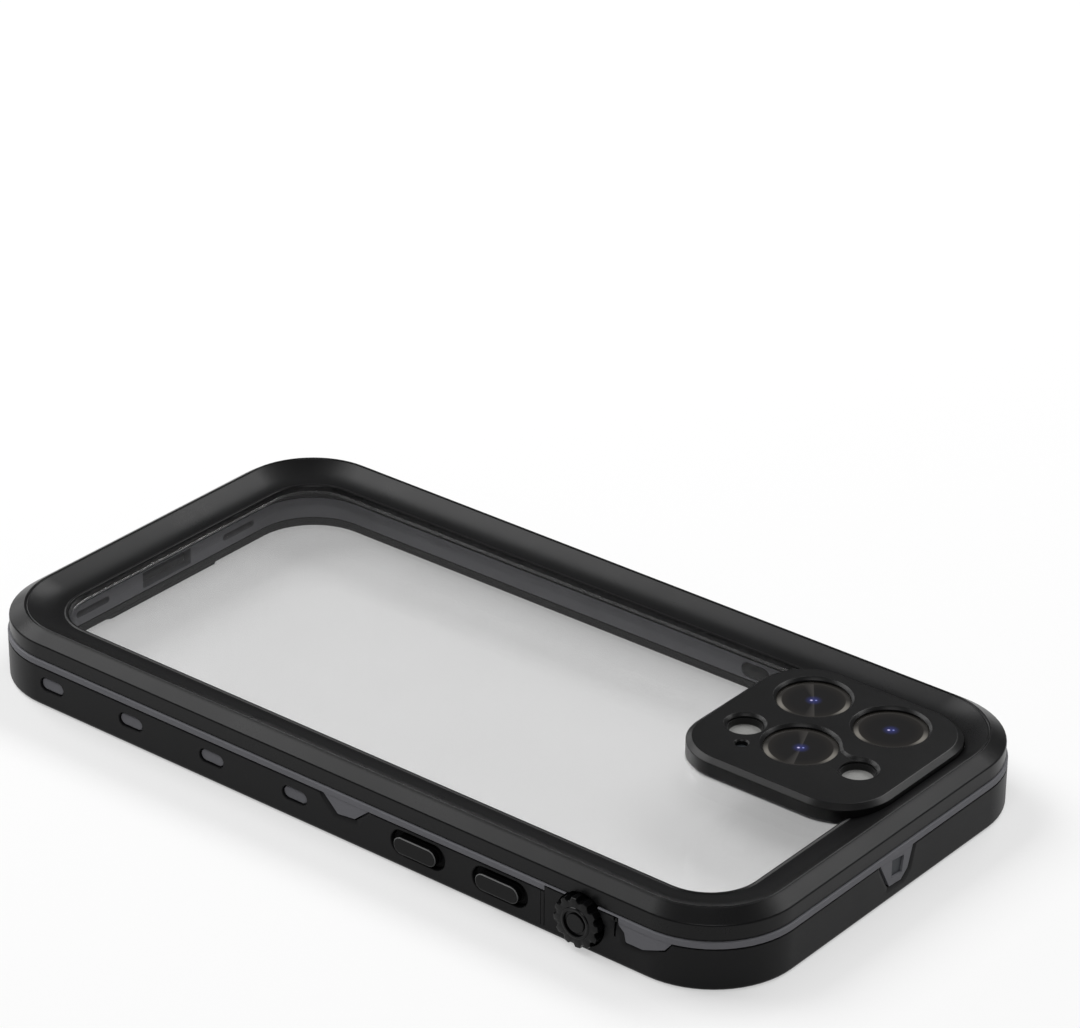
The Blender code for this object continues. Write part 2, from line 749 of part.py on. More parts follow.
def knob_bore():
    """The shaft's bore and the wider seat of its sealing ring, as one stepped cutter."""
    bore = circle(SHAFT_DIAMETER / 2 + RUN_GAP)
    seat = circle(SHAFT_DIAMETER / 2 + RING_WIDTH + 2 * BOND_GAP)
    depth = LINER_INSET + RING_DEPTH + 2 * BOND_GAP
    loops = [section(bore, -CAVITY_INSET), section(bore, -depth), section(seat, -depth), section(seat, 0.0)]
    return guide("knob_bore", (loops, wall_frame("volume", KNOB_X, KNOB_LEVEL)))


def fork_pocket():
    """Room on the cavity side for the fork to swing in."""
    half = FORK_REACH * math.sin(KNOB_TURN / 2) + FORK_WIDTH / 2 + SLIM_GAP
    low = -FORK_REACH - SLIM_GAP
    high = LINER_LEDGE - KNOB_LEVEL - SLIM_GAP
    outline = [(-half, low), (half, low), (half, high), (-half, high)]
    shallow = CAVITY_INSET - PLUNGER_POCKET
    loops = prism(outline, -CAVITY_INSET - CUT_OVERRUN, -shallow)
    return guide("fork_pocket", (loops, wall_frame("volume", KNOB_X, KNOB_LEVEL)))


def port_hole():
    half = PORT_HOLE_HEIGHT / 2
    depth = CAVITY_INSET + CUT_OVERRUN
    outline = [(-half, 0.0), (half, 0.0), (half, -depth), (-half, -depth)]
    return guide("port_hole", (slab(outline, PORT_HOLE_WIDTH / 2), wall_frame("port", 0.0, DEVICE_MIDDLE)))


def port_cover_room():
    """The band stops on both sides of the port cover."""
    depth = LINER_INSET - BOND_GAP
    high = BAND_TOP + CUT_OVERRUN
    low = SHELL_TOP - CUT_OVERRUN
    outline = [(low, CUT_OVERRUN), (low, -depth), (high, -depth), (high, CUT_OVERRUN)]
    return guide("port_cover_room", (slab(outline, PORT_OPENING_WIDTH / 2), wall_frame("port")))


def port_barrel_room():
    outline = circle(PORT_BARREL_DIAMETER / 2 + SEAT_GAP, 24)
    return guide("port_barrel_room", (slab(outline, PORT_OPENING_WIDTH / 2), PORT_FRAME))


def panel_pockets():
    lofts = []
    depth = SHOW_INSET + PANEL_SUNK + MEMBRANE_THICKNESS + BOND_GAP
    for side in (-1, 1):
        lofts.append((prism(panel_outline(side, PANEL_BORDER), -depth, CUT_OVERRUN), wall_frame("port")))
    return guide("panel_pockets", *lofts)


def sound_slots():
    """Slots that lead sound from the device to the panels' membranes."""
    lofts = []
    along = (PORT_COVER_WIDTH + PANEL_LENGTH) / 2 + PANEL_GAP_FROM_COVER
    outline = stadium(SOUND_SLOT_LENGTH, SOUND_SLOT_HEIGHT, PAD_STEPS)
    for side in (-1, 1):
        loops = prism(outline, -CAVITY_INSET - CUT_OVERRUN, -SHELL_WALL / 3)
        lofts.append((loops, wall_frame("port", side * along, DEVICE_MIDDLE)))
    return guide("sound_slots", *lofts)


def top_membrane_outline(inset):
    middle = (TOP_MEMBRANE[0][0] + TOP_MEMBRANE[-1][0]) / 2
    centre = sum(share for _, share in TOP_MEMBRANE) / len(TOP_MEMBRANE)
    foot = BAND_LOW - TOP_CHEVRON_DEPTH
    points = []
    for along, share in TOP_MEMBRANE:
        side = 1 if along > middle else -1
        rise = 1 if share > centre else -1
        points.append((along - side * inset, foot + share * TOP_CHEVRON_DEPTH - rise * inset))
    return points


def top_membrane_pocket():
    depth = SHOW_INSET + PANEL_SUNK + MEMBRANE_THICKNESS + BOND_GAP
    loops = prism(top_membrane_outline(0.0), -depth, CUT_OVERRUN)
    return guide("top_membrane_pocket", (loops, wall_frame("top")))


def top_sound_hole():
    middle = (TOP_MEMBRANE[0][0] + TOP_MEMBRANE[-1][0]) / 2
    loops = prism(circle(SOUND_SLOT_HEIGHT / 2, 12), -CAVITY_INSET - CUT_OVERRUN, -SHELL_WALL / 3)
    return guide("top_sound_hole", (loops, wall_frame("top", middle, DEVICE_MIDDLE)))


def screen_pieces(film_material, gasket_material, membrane_material):
    """The clear film, the black gasket that borders it and the earpiece membrane."""
    edge = RIM_WIDTH + SLIM_GAP
    film = solid("screen_film", film_material, case_profile([(edge, FILM_RECESS), (edge, FILM_TOP)]))
    gasket_top = GASKET_LOW + GASKET_THICKNESS
    gasket_profile = [(edge, GASKET_LOW), (edge, gasket_top), (CAVITY_INSET, gasket_top),
                      (CAVITY_INSET, GASKET_LOW)]
    gasket = solid("screen_gasket", gasket_material, case_profile(gasket_profile), closed=True)
    tab = guide("rim_tab_room", (prism(rim_tab_outline(SLIM_GAP), -CUT_OVERRUN, SHELF_LOW), None))
    slot = stadium(EARPIECE_LENGTH, EARPIECE_WIDTH, PAD_STEPS)
    place = Matrix.Translation((DEVICE_END + EARPIECE_OUTSIDE_DEVICE, 0.0, 0.0)) @ SIDEWAYS
    opening = guide("earpiece_slot", (prism(slot, 0.0, SHELF_LOW), place))
    for sheet in (film, gasket):
        cut(sheet, tab, opening)
    strip = stadium(EARPIECE_LENGTH - 2 * BOND_GAP, EARPIECE_WIDTH - 2 * BOND_GAP, PAD_STEPS)
    solid("earpiece_membrane", membrane_material, prism(strip, GASKET_LOW, gasket_top), frame=place)


# Rear half
def rear_frame(material, parent):
    """The rear bezel: a wall, a bevel, a crest, a hollow dish and the lip that holds the window."""
    top = REAR_LOW + REAR_WALL_HEIGHT
    profile = [
        (REAR_INSET, REAR_LOW),
        (REAR_INSET, top),
        (REAR_INSET + REAR_EDGE_ROUND / 4, top + REAR_EDGE_ROUND / 2),
        (REAR_INSET + REAR_EDGE_ROUND, top + REAR_EDGE_ROUND),
    ]
    inset, height = profile[-1]
    inset, height = inset + BEVEL_WIDTH - REAR_EDGE_ROUND, height + BEVEL_RISE
    profile.append((inset, height))
    inset, height = inset + CREST_WIDTH / 2, height + CREST_RISE
    profile.append((inset, height))
    inset = inset + CREST_WIDTH / 2
    profile.append((inset, height))
    profile.append((inset + CREASE_WIDTH / 2, height - CREASE_DEPTH))
    dish_inset, dish_height = inset + CREASE_WIDTH, height - CREASE_DEPTH / 2
    for step in range(DISH_STEPS + 1):
        share = step / DISH_STEPS
        fall = DISH_FALL * (1 - (1 - share) ** DISH_CURVE)
        profile.append((dish_inset + share * DISH_WIDTH, dish_height - fall))
    inset, height = profile[-1]
    lip_inset = inset + BEAD_WIDTH
    profile += [
        (inset + BEAD_WIDTH / 3, height + BEAD_RISE),
        (inset + BEAD_WIDTH * 2 / 3, height + BEAD_RISE),
        (lip_inset, height - BEAD_RISE),
        (lip_inset, LIP_LOW),
        (CAVITY_INSET, LIP_LOW),
        (CAVITY_INSET, TONGUE_LOW),
        (TONGUE_INSET + TONGUE_CHAMFER, TONGUE_LOW),
        (TONGUE_INSET, TONGUE_LOW + TONGUE_CHAMFER),
    ]
    seal_top = REAR_LOW - SEAL_DROP + BOND_GAP
    seal_low = REAR_LOW - SEAL_DROP - SEAL_HEIGHT - BOND_GAP
    groove = TONGUE_INSET + SEAL_DEPTH
    profile += [
        (TONGUE_INSET, seal_low),
        (groove, seal_low),
        (groove, seal_top),
        (TONGUE_INSET, seal_top),
        (TONGUE_INSET, REAR_LOW),
    ]
    frame = solid("rear_frame", material, case_profile(profile), closed=True, parent=parent)
    camera_room = prism(camera_outline(-SLIM_GAP), WINDOW_LOW, CAMERA_TOP + CUT_OVERRUN)
    cut(frame, guide("camera_room", (camera_room, None)), knob_recess("knob_arch", SHELL_WALL), pry_slot())
    shade(frame, 30)
    return lip_inset


def pry_slot():
    """A slot round one corner in which a coin parts the two halves."""
    low = REAR_LOW - CUT_OVERRUN
    high = REAR_LOW + PRY_SLOT_HEIGHT
    profile = [(-CUT_OVERRUN, low), (-CUT_OVERRUN, high), (PRY_SLOT_DEPTH, high), (PRY_SLOT_DEPTH, low)]
    slot = guide("pry_slot", (case_profile(profile), None), closed=True)
    outline = rounded_rectangle(PRY_SLOT_SPAN / 2, PRY_SLOT_SPAN / 2, PRY_SLOT_SPAN / 8, 2)
    reach = CUT_OVERRUN + PRY_SLOT_SPAN / 2
    outline = shifted(outline, reach - CUT_OVERRUN * 2 - HALF_LENGTH, HALF_WIDTH - reach + CUT_OVERRUN * 2)
    keep_inside(slot, guide("pry_slot_span", (prism(outline, low / 2, high * 2), None)))
    return slot


def rear_window(material, lip_inset, parent):
    """The clear back: a flange under the frame's lip and a thicker middle that fills the opening."""
    flange = CAVITY_INSET + SEAT_GAP
    panel = lip_inset + REAR_SEAT_GAP
    profile = [
        (flange, WINDOW_LOW),
        (flange, FLANGE_TOP),
        (panel, FLANGE_TOP),
        (panel, WINDOW_TOP - WINDOW_CHAMFER),
        (panel + WINDOW_CHAMFER, WINDOW_TOP),
    ]
    window = solid("rear_window", material, case_profile(profile), parent=parent)
    opening = prism(camera_outline(CAMERA_WALL + SLIM_GAP), DEVICE_MIDDLE, CAMERA_TOP)
    seat = prism(camera_outline(-SLIM_GAP), FLANGE_TOP - BOND_GAP / 2, CAMERA_TOP)
    cut(window, guide("bump_opening", (opening, None)), guide("camera_seat", (seat, None)))
    shade(window, 30)


def main_seal(material, parent):
    high = REAR_LOW - SEAL_DROP
    low = high - SEAL_HEIGHT
    outer = TONGUE_INSET - SLIM_GAP
    inner = TONGUE_INSET + SEAL_DEPTH - BOND_GAP
    soft = SEAL_HEIGHT / 4
    profile = [(outer, low + soft), (outer, high - soft), (outer + soft, high), (inner, high),
               (inner, low), (outer + soft, low)]
    solid("main_seal", material, case_profile(profile), closed=True, parent=parent, smooth=40)


def window_hole(name, diameter, ledge, place):
    """A stepped hole: a wide seat below, a narrower throat and a bevelled mouth."""
    throat = diameter / 2 - LENS_RIM
    seat = throat + ledge
    seat_top = CAMERA_CEILING + GLASS_THICKNESS + 2 * BOND_GAP
    bevel_low = CAMERA_TOP - LENS_BEVEL_DEPTH
    slope = LENS_RIM / LENS_BEVEL_DEPTH
    mouth = diameter / 2 + slope * BOND_GAP
    loops = [
        section(circle(seat), CAMERA_CEILING - CUT_OVERRUN / 2),
        section(circle(seat), seat_top),
        section(circle(throat), seat_top),
        section(circle(throat), bevel_low),
        section(circle(mouth), CAMERA_TOP + BOND_GAP),
    ]
    matrix = Matrix.Translation((CAMERA_X + place[0], CAMERA_Y + place[1], 0.0))
    return guide(name, (loops, matrix))


def window_disc(name, diameter, ledge, place, material, parent):
    """A flat window that is glued up into the seat of its hole."""
    radius = diameter / 2 - LENS_RIM + ledge - SLIM_GAP
    low = CAMERA_CEILING + BOND_GAP
    high = low + GLASS_THICKNESS
    loops = [
        section(circle(radius), low),
        section(circle(radius), high - GLASS_CHAMFER),
        section(circle(radius - GLASS_CHAMFER), high),
    ]
    frame = Matrix.Translation((CAMERA_X + place[0], CAMERA_Y + place[1], 0.0))
    solid(name, material, loops, frame=frame, parent=parent, smooth=30)


def camera_plate(material, glass, membrane, parent):
    """The raised plate over the cameras, hollow below, with a window in each of its holes."""
    shell = [
        section(camera_outline(CAMERA_WALL), CAMERA_CEILING),
        section(camera_outline(CAMERA_WALL), CAMERA_LOW),
        section(camera_outline(0.0), CAMERA_LOW),
        section(camera_outline(0.0), CAMERA_TOP - CAMERA_EDGE),
        section(camera_outline(CAMERA_EDGE / 4), CAMERA_TOP - CAMERA_EDGE / 3),
        section(camera_outline(CAMERA_EDGE), CAMERA_TOP),
    ]
    plate = solid("camera_plate", material, shell, parent=parent)
    holes = {"lens_window_" + key: (LENS_DIAMETER, LENS_LEDGE, place) for key, place in LENS_PLACES.items()}
    holes["flash_window"] = (FLASH_DIAMETER, FLASH_LEDGE, FLASH_PLACE)
    holes["sensor_window"] = (SENSOR_DIAMETER, FLASH_LEDGE, SENSOR_PLACE)
    for name, (diameter, ledge, place) in holes.items():
        cut(plate, window_hole(name + "_hole", diameter, ledge, place))
        window_disc(name, diameter, ledge, place, glass, parent)
    seat_top = CAMERA_CEILING + MEMBRANE_THICKNESS + 2 * BOND_GAP
    loops = [
        section(circle(MICROPHONE_SEAT / 2, 16), CAMERA_CEILING - CUT_OVERRUN / 2),
        section(circle(MICROPHONE_SEAT / 2, 16), seat_top),
        section(circle(MICROPHONE_DIAMETER / 2, 16), seat_top),
        section(circle(MICROPHONE_DIAMETER / 2, 16), CAMERA_TOP + CUT_OVERRUN),
    ]
    frame = Matrix.Translation((CAMERA_X + MICROPHONE_PLACE[0], CAMERA_Y + MICROPHONE_PLACE[1], 0.0))
    cut(plate, guide("microphone_hole", (loops, frame)))
    low = CAMERA_CEILING + BOND_GAP
    disc = circle(MICROPHONE_SEAT / 2 - SLIM_GAP, 16)
    solid("microphone_membrane", membrane, prism(disc, low, low + MEMBRANE_THICKNESS), frame=frame,
          parent=parent, smooth=30)
    shade(plate, 30)


# Buttons
def push_button(name, material, ring_material):
    """A capped button with its stem, the ring that seals the stem and the plunger behind it."""
    wall, along, length = BUTTONS[name]
    frame = wall_frame(wall, along, BUTTON_LEVEL)
    axis = axis_empty(name + "_axis", frame)
    flange_back = FLANGE_FRONT + FLANGE_THICKNESS
    stem_end = CAVITY_INSET - PLUNGER_POCKET + BOND_GAP
    flange = stadium(length + 2 * FLANGE_MARGIN, BUTTON_HEIGHT + 2 * FLANGE_MARGIN)
    face = stadium(length, BUTTON_HEIGHT)
    stem = stadium(STEM_LENGTH, STEM_HEIGHT)
    loops = [
        section(stem, -stem_end),
        section(stem, -flange_back),
        section(flange, -flange_back),
        section(flange, -FLANGE_FRONT),
        section(face, -FLANGE_FRONT),
    ]
    for turn in (0, 45, 90):
        inward = BUTTON_ROUND * (1 - math.cos(math.radians(turn)))
        up = BUTTON_ROUND * math.sin(math.radians(turn))
        rounded = stadium(length - 2 * inward, BUTTON_HEIGHT - 2 * inward)
        loops.append(section(rounded, BUTTON_PROUD - BUTTON_ROUND + up))
    solid(name + "_button", material, loops, parent=axis, smooth=50)
    plunger = stadium(STEM_LENGTH + 2 * PLUNGER_MARGIN, STEM_HEIGHT + 2 * PLUNGER_MARGIN)
    front = stem_end + BOND_GAP
    loops = prism(plunger, -front - PLUNGER_THICKNESS, -front)
    solid(name + "_plunger", material, loops, parent=axis, smooth=30)
    sealing_ring(name + "_ring", frame, stadium(*ring_size(STEM_LENGTH, STEM_HEIGHT)),
                 stadium(STEM_LENGTH + 2 * BOND_GAP, STEM_HEIGHT + 2 * BOND_GAP), ring_material)


def ring_size(length, height):
    margin = 2 * (RING_WIDTH + BOND_GAP)
    return length + margin, height + margin


def sealing_ring(name, frame, outer, inner, material):
    front = LINER_INSET + BOND_GAP
    back = front + RING_DEPTH
    loops = [section(outer, -front), section(outer, -back), section(inner, -back), section(inner, -front)]
    solid(name, material, loops, closed=True, frame=frame, smooth=50)


# Mute knob
def toothed_outline(tip_radius, root_radius):
    """A round dial with blunt teeth; each tooth has a tip, two flanks and a rounded root."""
    points = []
    parts = ((0.0, 0.0), (0.2, 0.0), (0.38, 0.7), (0.6, 1.0), (0.82, 0.7))
    for tooth in range(KNOB_TEETH):
        for share, fall in parts:
            angle = 2 * math.pi * (tooth + share) / KNOB_TEETH
            radius = tip_radius - (tip_radius - root_radius) * fall
            points.append((radius * math.cos(angle), radius * math.sin(angle)))
    return points


def mute_knob(material, ring_material):
    """The toothed knob with its shaft, its sealing ring and the fork that moves the switch."""
    frame = wall_frame("volume", KNOB_X, KNOB_LEVEL)
    axis = axis_empty("mute_knob_axis", frame)
    count = len(toothed_outline(1.0, 1.0))
    tip = KNOB_DIAMETER / 2
    root = tip - KNOB_TOOTH
    shaft_end = CAVITY_INSET - PLUNGER_POCKET
    face = KNOB_PROUD - KNOB_RELIEF
    shaft = circle(SHAFT_DIAMETER / 2, count)
    loops = [
        section(shaft, -shaft_end),
        section(shaft, -KNOB_SUNK),
        section(toothed_outline(tip - KNOB_EDGE, root - KNOB_EDGE), -KNOB_SUNK),
        section(toothed_outline(tip, root), KNOB_EDGE - KNOB_SUNK),
        section(toothed_outline(tip, root), face - KNOB_EDGE),
        section(toothed_outline(tip - KNOB_EDGE, root - KNOB_EDGE), face),
        section(circle(KNOB_RING_RADIUS, count), face),
        section(circle(KNOB_RING_RADIUS - KNOB_RELIEF, count), KNOB_PROUD),
        section(circle(KNOB_RING_RADIUS - 2 * KNOB_RELIEF, count), KNOB_PROUD),
        section(circle(KNOB_RING_RADIUS - 3 * KNOB_RELIEF, count), face - KNOB_RELIEF),
        section(circle(KNOB_DOME_RADIUS, count), face - KNOB_RELIEF),
        section(circle(KNOB_DOME_RADIUS - KNOB_RELIEF, count), face + KNOB_RELIEF / 2),
    ]
    solid("mute_knob", material, loops, parent=axis, smooth=35)
    front = shaft_end + BOND_GAP
    arm = prism(fork_outline(), -front - FORK_THICKNESS, -front)
    tilt = Matrix.Rotation(-KNOB_TURN / 2, 4, "Z")
    solid("mute_fork", material, arm, frame=tilt, parent=axis, smooth=30)
    radius = SHAFT_DIAMETER / 2
    outer = circle(radius + RING_WIDTH + BOND_GAP, 24)
    sealing_ring("mute_ring", frame, outer, circle(radius + BOND_GAP, 24), ring_material)


def fork_outline():
    """An arm that hangs from the shaft, with a slot in its foot for the switch."""
    half = FORK_WIDTH / 2
    slot = FORK_SLOT / 2
    head = arc((0.0, 0.0), half, 0, 180, 8)
    return head + [(-half, -FORK_REACH), (-slot, -FORK_REACH), (-slot, -FORK_REACH + 2 * FORK_SLOT),
                   (slot, -FORK_REACH + 2 * FORK_SLOT), (slot, -FORK_REACH), (half, -FORK_REACH)]


# Port cover
def port_cover(material, plug_material, pin_material):
    """The hinged cover, its wedge-shaped plug and the pin that both turn on."""
    axis = axis_empty("port_cover_axis", PORT_FRAME)
    barrel = PORT_BARREL_DIAMETER / 2
    back = SHELL_WALL - PORT_PIN_INSET
    top = BAND_TOP - PORT_PIN_HEIGHT
    face = PORT_PIN_INSET + PORT_PROUD
    lip = face + PORT_LIP_PROUD
    lip_low = top - PORT_LIP_HEIGHT
    tangent = math.atan2(face, PORT_SLANT_RISE) + math.acos(barrel / math.hypot(face, PORT_SLANT_RISE))
    last = 2 * math.pi - math.asin(back / barrel)
    outline = arc((0.0, 0.0), barrel, math.degrees(tangent), math.degrees(last), 12) + [
        (top, -back),
        (top, lip - PORT_GRIP_DEPTH),
        (top - PORT_GRIP_DEPTH, lip),
        (lip_low, lip),
        (lip_low - PORT_LIP_PROUD, face),
        (PORT_SLANT_RISE, face),
    ]
    cover = solid("port_cover", material, slab(outline, PORT_COVER_WIDTH / 2), parent=axis)
    bore = circle(PORT_PIN_DIAMETER / 2 + RUN_GAP, 16)
    cut(cover, guide("port_cover_bore", (slab(bore, PORT_COVER_WIDTH), PORT_FRAME)))
    cut(cover, port_grip_groove(face))
    shade(cover, 30)
    port_plug(plug_material, back, axis)
    half = PORT_OPENING_WIDTH / 2 + PORT_PIN_GRIP
    pin = slab(circle(PORT_PIN_DIAMETER / 2, 16), half)
    solid("port_hinge_pin", pin_material, pin, frame=PORT_FRAME, smooth=30)


def port_grip_groove(face):
    """A ring groove that leaves a pill-shaped grip on the cover's face."""
    outer = stadium(PORT_GRIP_LENGTH + 2 * PORT_GRIP_GROOVE, PORT_GRIP_HEIGHT + 2 * PORT_GRIP_GROOVE)
    inner = stadium(PORT_GRIP_LENGTH, PORT_GRIP_HEIGHT)
    low = face - PORT_GRIP_DEPTH
    high = face + CUT_OVERRUN
    loops = [section(outer, low), section(outer, high), section(inner, high), section(inner, low)]
    middle = Matrix.Translation((0.0, DEVICE_MIDDLE - PORT_PIN_HEIGHT, 0.0))
    return guide("port_grip_groove", (loops, PORT_FRAME @ middle), closed=True)


def port_plug(material, back, parent):
    """The plug's top is an arc about the hinge, so that it swings out of its hole."""
    hole_half = PORT_HOLE_HEIGHT / 2
    middle = DEVICE_MIDDLE - PORT_PIN_HEIGHT
    mouth = LINER_INSET - PORT_PIN_INSET
    swing = math.hypot(mouth, middle + hole_half) - SLIM_GAP
    root = back + BOND_GAP
    tip = root + PLUG_DEPTH
    low = middle - hole_half + SLIM_GAP
    outline = [(low, -root)]
    for step in range(PLUG_STEPS + 1):
        reach = root + (tip - root) * step / PLUG_STEPS
        outline.insert(0, (math.sqrt(swing ** 2 - reach ** 2), -reach))
    outline.insert(0, (low + SLIM_GAP, -tip))
    half = PORT_HOLE_WIDTH / 2 - SLIM_GAP
    solid("port_plug", material, slab(outline, half), parent=parent)


def panel_membranes(material):
    """The dark membranes that fill the panels and the chevron of the top end."""
    front = SHOW_INSET + PANEL_SUNK
    back = front + MEMBRANE_THICKNESS
    for name, side in (("speaker_membrane_left", 1), ("speaker_membrane_right", -1)):
        outline = panel_outline(side, PANEL_BORDER + BOND_GAP)
        solid(name, material, prism(outline, -back, -front), frame=wall_frame("port"))
    outline = top_membrane_outline(BOND_GAP)
    solid("top_membrane", material, prism(outline, -back, -front), frame=wall_frame("top"))


def main():
    black_shell = plain_material("black_shell", (0.022, 0.022, 0.023), 0.42)
    black_bezel = plain_material("black_bezel", (0.026, 0.026, 0.027), 0.38)
    grey_rubber = plain_material("grey_rubber", (0.105, 0.105, 0.112), 0.6)
    black_rubber = plain_material("black_rubber", (0.012, 0.012, 0.012), 0.7)
    clear_plastic = plain_material("clear_plastic", (0.95, 0.95, 0.95), 0.04, alpha=0.15)
    clear_film = plain_material("clear_film", (0.96, 0.96, 0.96), 0.06, alpha=0.12)
    lens_glass = plain_material("lens_glass", (0.9, 0.92, 0.95), 0.02, alpha=0.2)
    membrane = plain_material("membrane", (0.05, 0.055, 0.062), 0.65)
    pin_steel = plain_material("pin_steel", (0.55, 0.55, 0.56), 0.3, metallic=1.0)

    front_frame(black_shell)
    soft_liner(grey_rubber)
    screen_pieces(clear_film, black_rubber, membrane)
    panel_membranes(membrane)

    lift_axis = axis_empty("rear_cover_axis", Matrix.Identity(4))
    lip_inset = rear_frame(black_bezel, lift_axis)
    rear_window(clear_plastic, lip_inset, lift_axis)
    main_seal(black_rubber, lift_axis)
    camera_plate(black_bezel, lens_glass, membrane, lift_axis)

    for name in BUTTONS:
        push_button(name, black_shell, black_rubber)
    mute_knob(black_shell, black_rubber)
    port_cover(black_shell, grey_rubber, pin_steel)


main()
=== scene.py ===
# %% [markdown]
# # A waterproof case with a clear back
#
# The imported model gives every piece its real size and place. This file dresses it: the coarse
# shells are modelled again with fine rounds, and each piece gets the finish of the real one.
# The case lies on its front rim, with the clear rear cover up and the volume buttons in front.

import math

import bmesh
import bpy
from mathutils import Matrix, Vector


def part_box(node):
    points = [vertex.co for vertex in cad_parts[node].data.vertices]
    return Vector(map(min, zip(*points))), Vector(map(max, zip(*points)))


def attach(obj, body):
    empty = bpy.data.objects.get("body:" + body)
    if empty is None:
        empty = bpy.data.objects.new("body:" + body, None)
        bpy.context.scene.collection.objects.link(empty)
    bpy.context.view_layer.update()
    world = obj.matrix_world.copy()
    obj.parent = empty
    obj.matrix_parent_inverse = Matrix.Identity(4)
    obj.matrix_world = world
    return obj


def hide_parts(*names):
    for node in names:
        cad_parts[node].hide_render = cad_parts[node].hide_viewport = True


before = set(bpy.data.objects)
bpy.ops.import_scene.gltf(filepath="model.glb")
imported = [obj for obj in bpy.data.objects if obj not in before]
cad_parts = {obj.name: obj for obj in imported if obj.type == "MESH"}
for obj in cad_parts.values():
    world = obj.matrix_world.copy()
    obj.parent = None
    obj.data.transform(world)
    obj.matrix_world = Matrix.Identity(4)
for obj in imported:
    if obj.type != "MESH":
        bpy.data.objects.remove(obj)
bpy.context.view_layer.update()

# %% [markdown]
# ## The camera
#
# The photograph looks down on the case past its front right corner, from about 0.72 m and with a
# long lens, so that the far edges hardly get shorter. The turns are in degrees: first the tilt
# from looking straight down, then a small roll, then the turn about the upright axis.

# %% Place the camera
CAMERA_PLACE = (0.3942, -0.4778, 0.3637)
CAMERA_TURNS = (62.422, -0.417, 39.096)
CAMERA_LENS = 145.75
CAMERA_SENSOR = 36
CAMERA_NEAR = 0.01

bpy.ops.object.select_all(action="DESELECT")
bpy.ops.object.camera_add(location=CAMERA_PLACE)
camera = bpy.context.object
camera.name = "camera"
camera.rotation_euler = [math.radians(turn) for turn in CAMERA_TURNS]
camera.data.lens = CAMERA_LENS
camera.data.sensor_width = CAMERA_SENSOR
camera.data.clip_start = CAMERA_NEAR
bpy.context.scene.camera = camera
print("camera at", CAMERA_PLACE, "with a lens of", CAMERA_LENS, "mm")

# %% [markdown]
# ## The light
#
# Black plastic shows its shape by what it mirrors. Two soft lamps stand where the bevels and the
# steep side of the hollow dish mirror them into the camera: one high on the left, one high behind.
# Level faces mirror the dim surroundings between the two and stay dark. A small lamp in front
# softens the shadows, and a dim low one on the left lifts the faces that lean towards it. All of
# it lights a level surface about as brightly as its colour is written.

# %% Set the lamps and the world
WORLD_LEVEL = 0.12
LAMP_DISTANCE = 1.5
LAMPS = {
    "left_lamp": ((-0.68, -0.054, 0.73), (0.98, 0.86), 5.2),
    "rear_lamp": ((0.14, 0.68, 0.7), (1.4, 0.46), 5.6),
    "front_lamp": ((0.3, -0.42, 0.84), (0.8, 0.7), 3.0),
    "low_lamp": ((-0.914, 0.28, 0.26), (0.8, 0.5), 1.6),
}

scene = bpy.context.scene
scene.view_settings.view_transform = "Standard"
scene.world = bpy.data.worlds.new("studio")
scene.world.use_nodes = True
surroundings = scene.world.node_tree.nodes["Background"]
surroundings.inputs["Color"].default_value = (1.0, 1.0, 1.0, 1.0)
surroundings.inputs["Strength"].default_value = WORLD_LEVEL
for name, (direction, (width, depth), brightness) in LAMPS.items():
    away = Vector(direction).normalized()
    bpy.ops.object.light_add(type="AREA", location=away * LAMP_DISTANCE)
    lamp = bpy.context.object
    lamp.name = name
    lamp.rotation_euler = away.to_track_quat("Z", "Y").to_euler()
    lamp.data.shape = "RECTANGLE"
    lamp.data.size = width
    lamp.data.size_y = depth
    lamp.data.energy = brightness * math.pi * width * depth
    print(name, "of", round(lamp.data.energy, 2), "watts")

# %% [markdown]
# ## Shader maths as plain sums
#
# A finish is a small sum over noise patterns and distances. The class below wraps a socket, so
# that `1 - mask * 0.3` adds the Math nodes by itself and the finish reads like the sum it is.


# %% A socket that takes part in sums
class Signal:
    def __init__(self, finish, socket):
        self.finish = finish
        self.socket = socket

    def maths(self, operation, *values):
        return self.finish.node("Math", {"operation": operation}, *values)

    def __add__(self, other):
        return self.maths("ADD", self, other)

    def __radd__(self, other):
        return self.maths("ADD", other, self)

    def __sub__(self, other):
        return self.maths("SUBTRACT", self, other)

    def __rsub__(self, other):
        return self.maths("SUBTRACT", other, self)

    def __mul__(self, other):
        return self.maths("MULTIPLY", self, other)

    def __rmul__(self, other):
        return self.maths("MULTIPLY", other, self)

    def __truediv__(self, other):
        return self.maths("DIVIDE", self, other)

    def above(self, level, softness):
        """0 below the level and 1 above it, with a soft step between."""
        sockets = (self, level - softness, level + softness, 0.0, 1.0)
        return self.finish.node("MapRange", {"interpolation_type": "SMOOTHSTEP"}, *sockets)


print("signals add, subtract, multiply and divide")

# %% [markdown]
# ## Nodes from one method
#
# A material is a set of nodes, values and links. One method adds a node of any kind, with its
# settings first and then what its sockets take, so that a finish names only what matters.


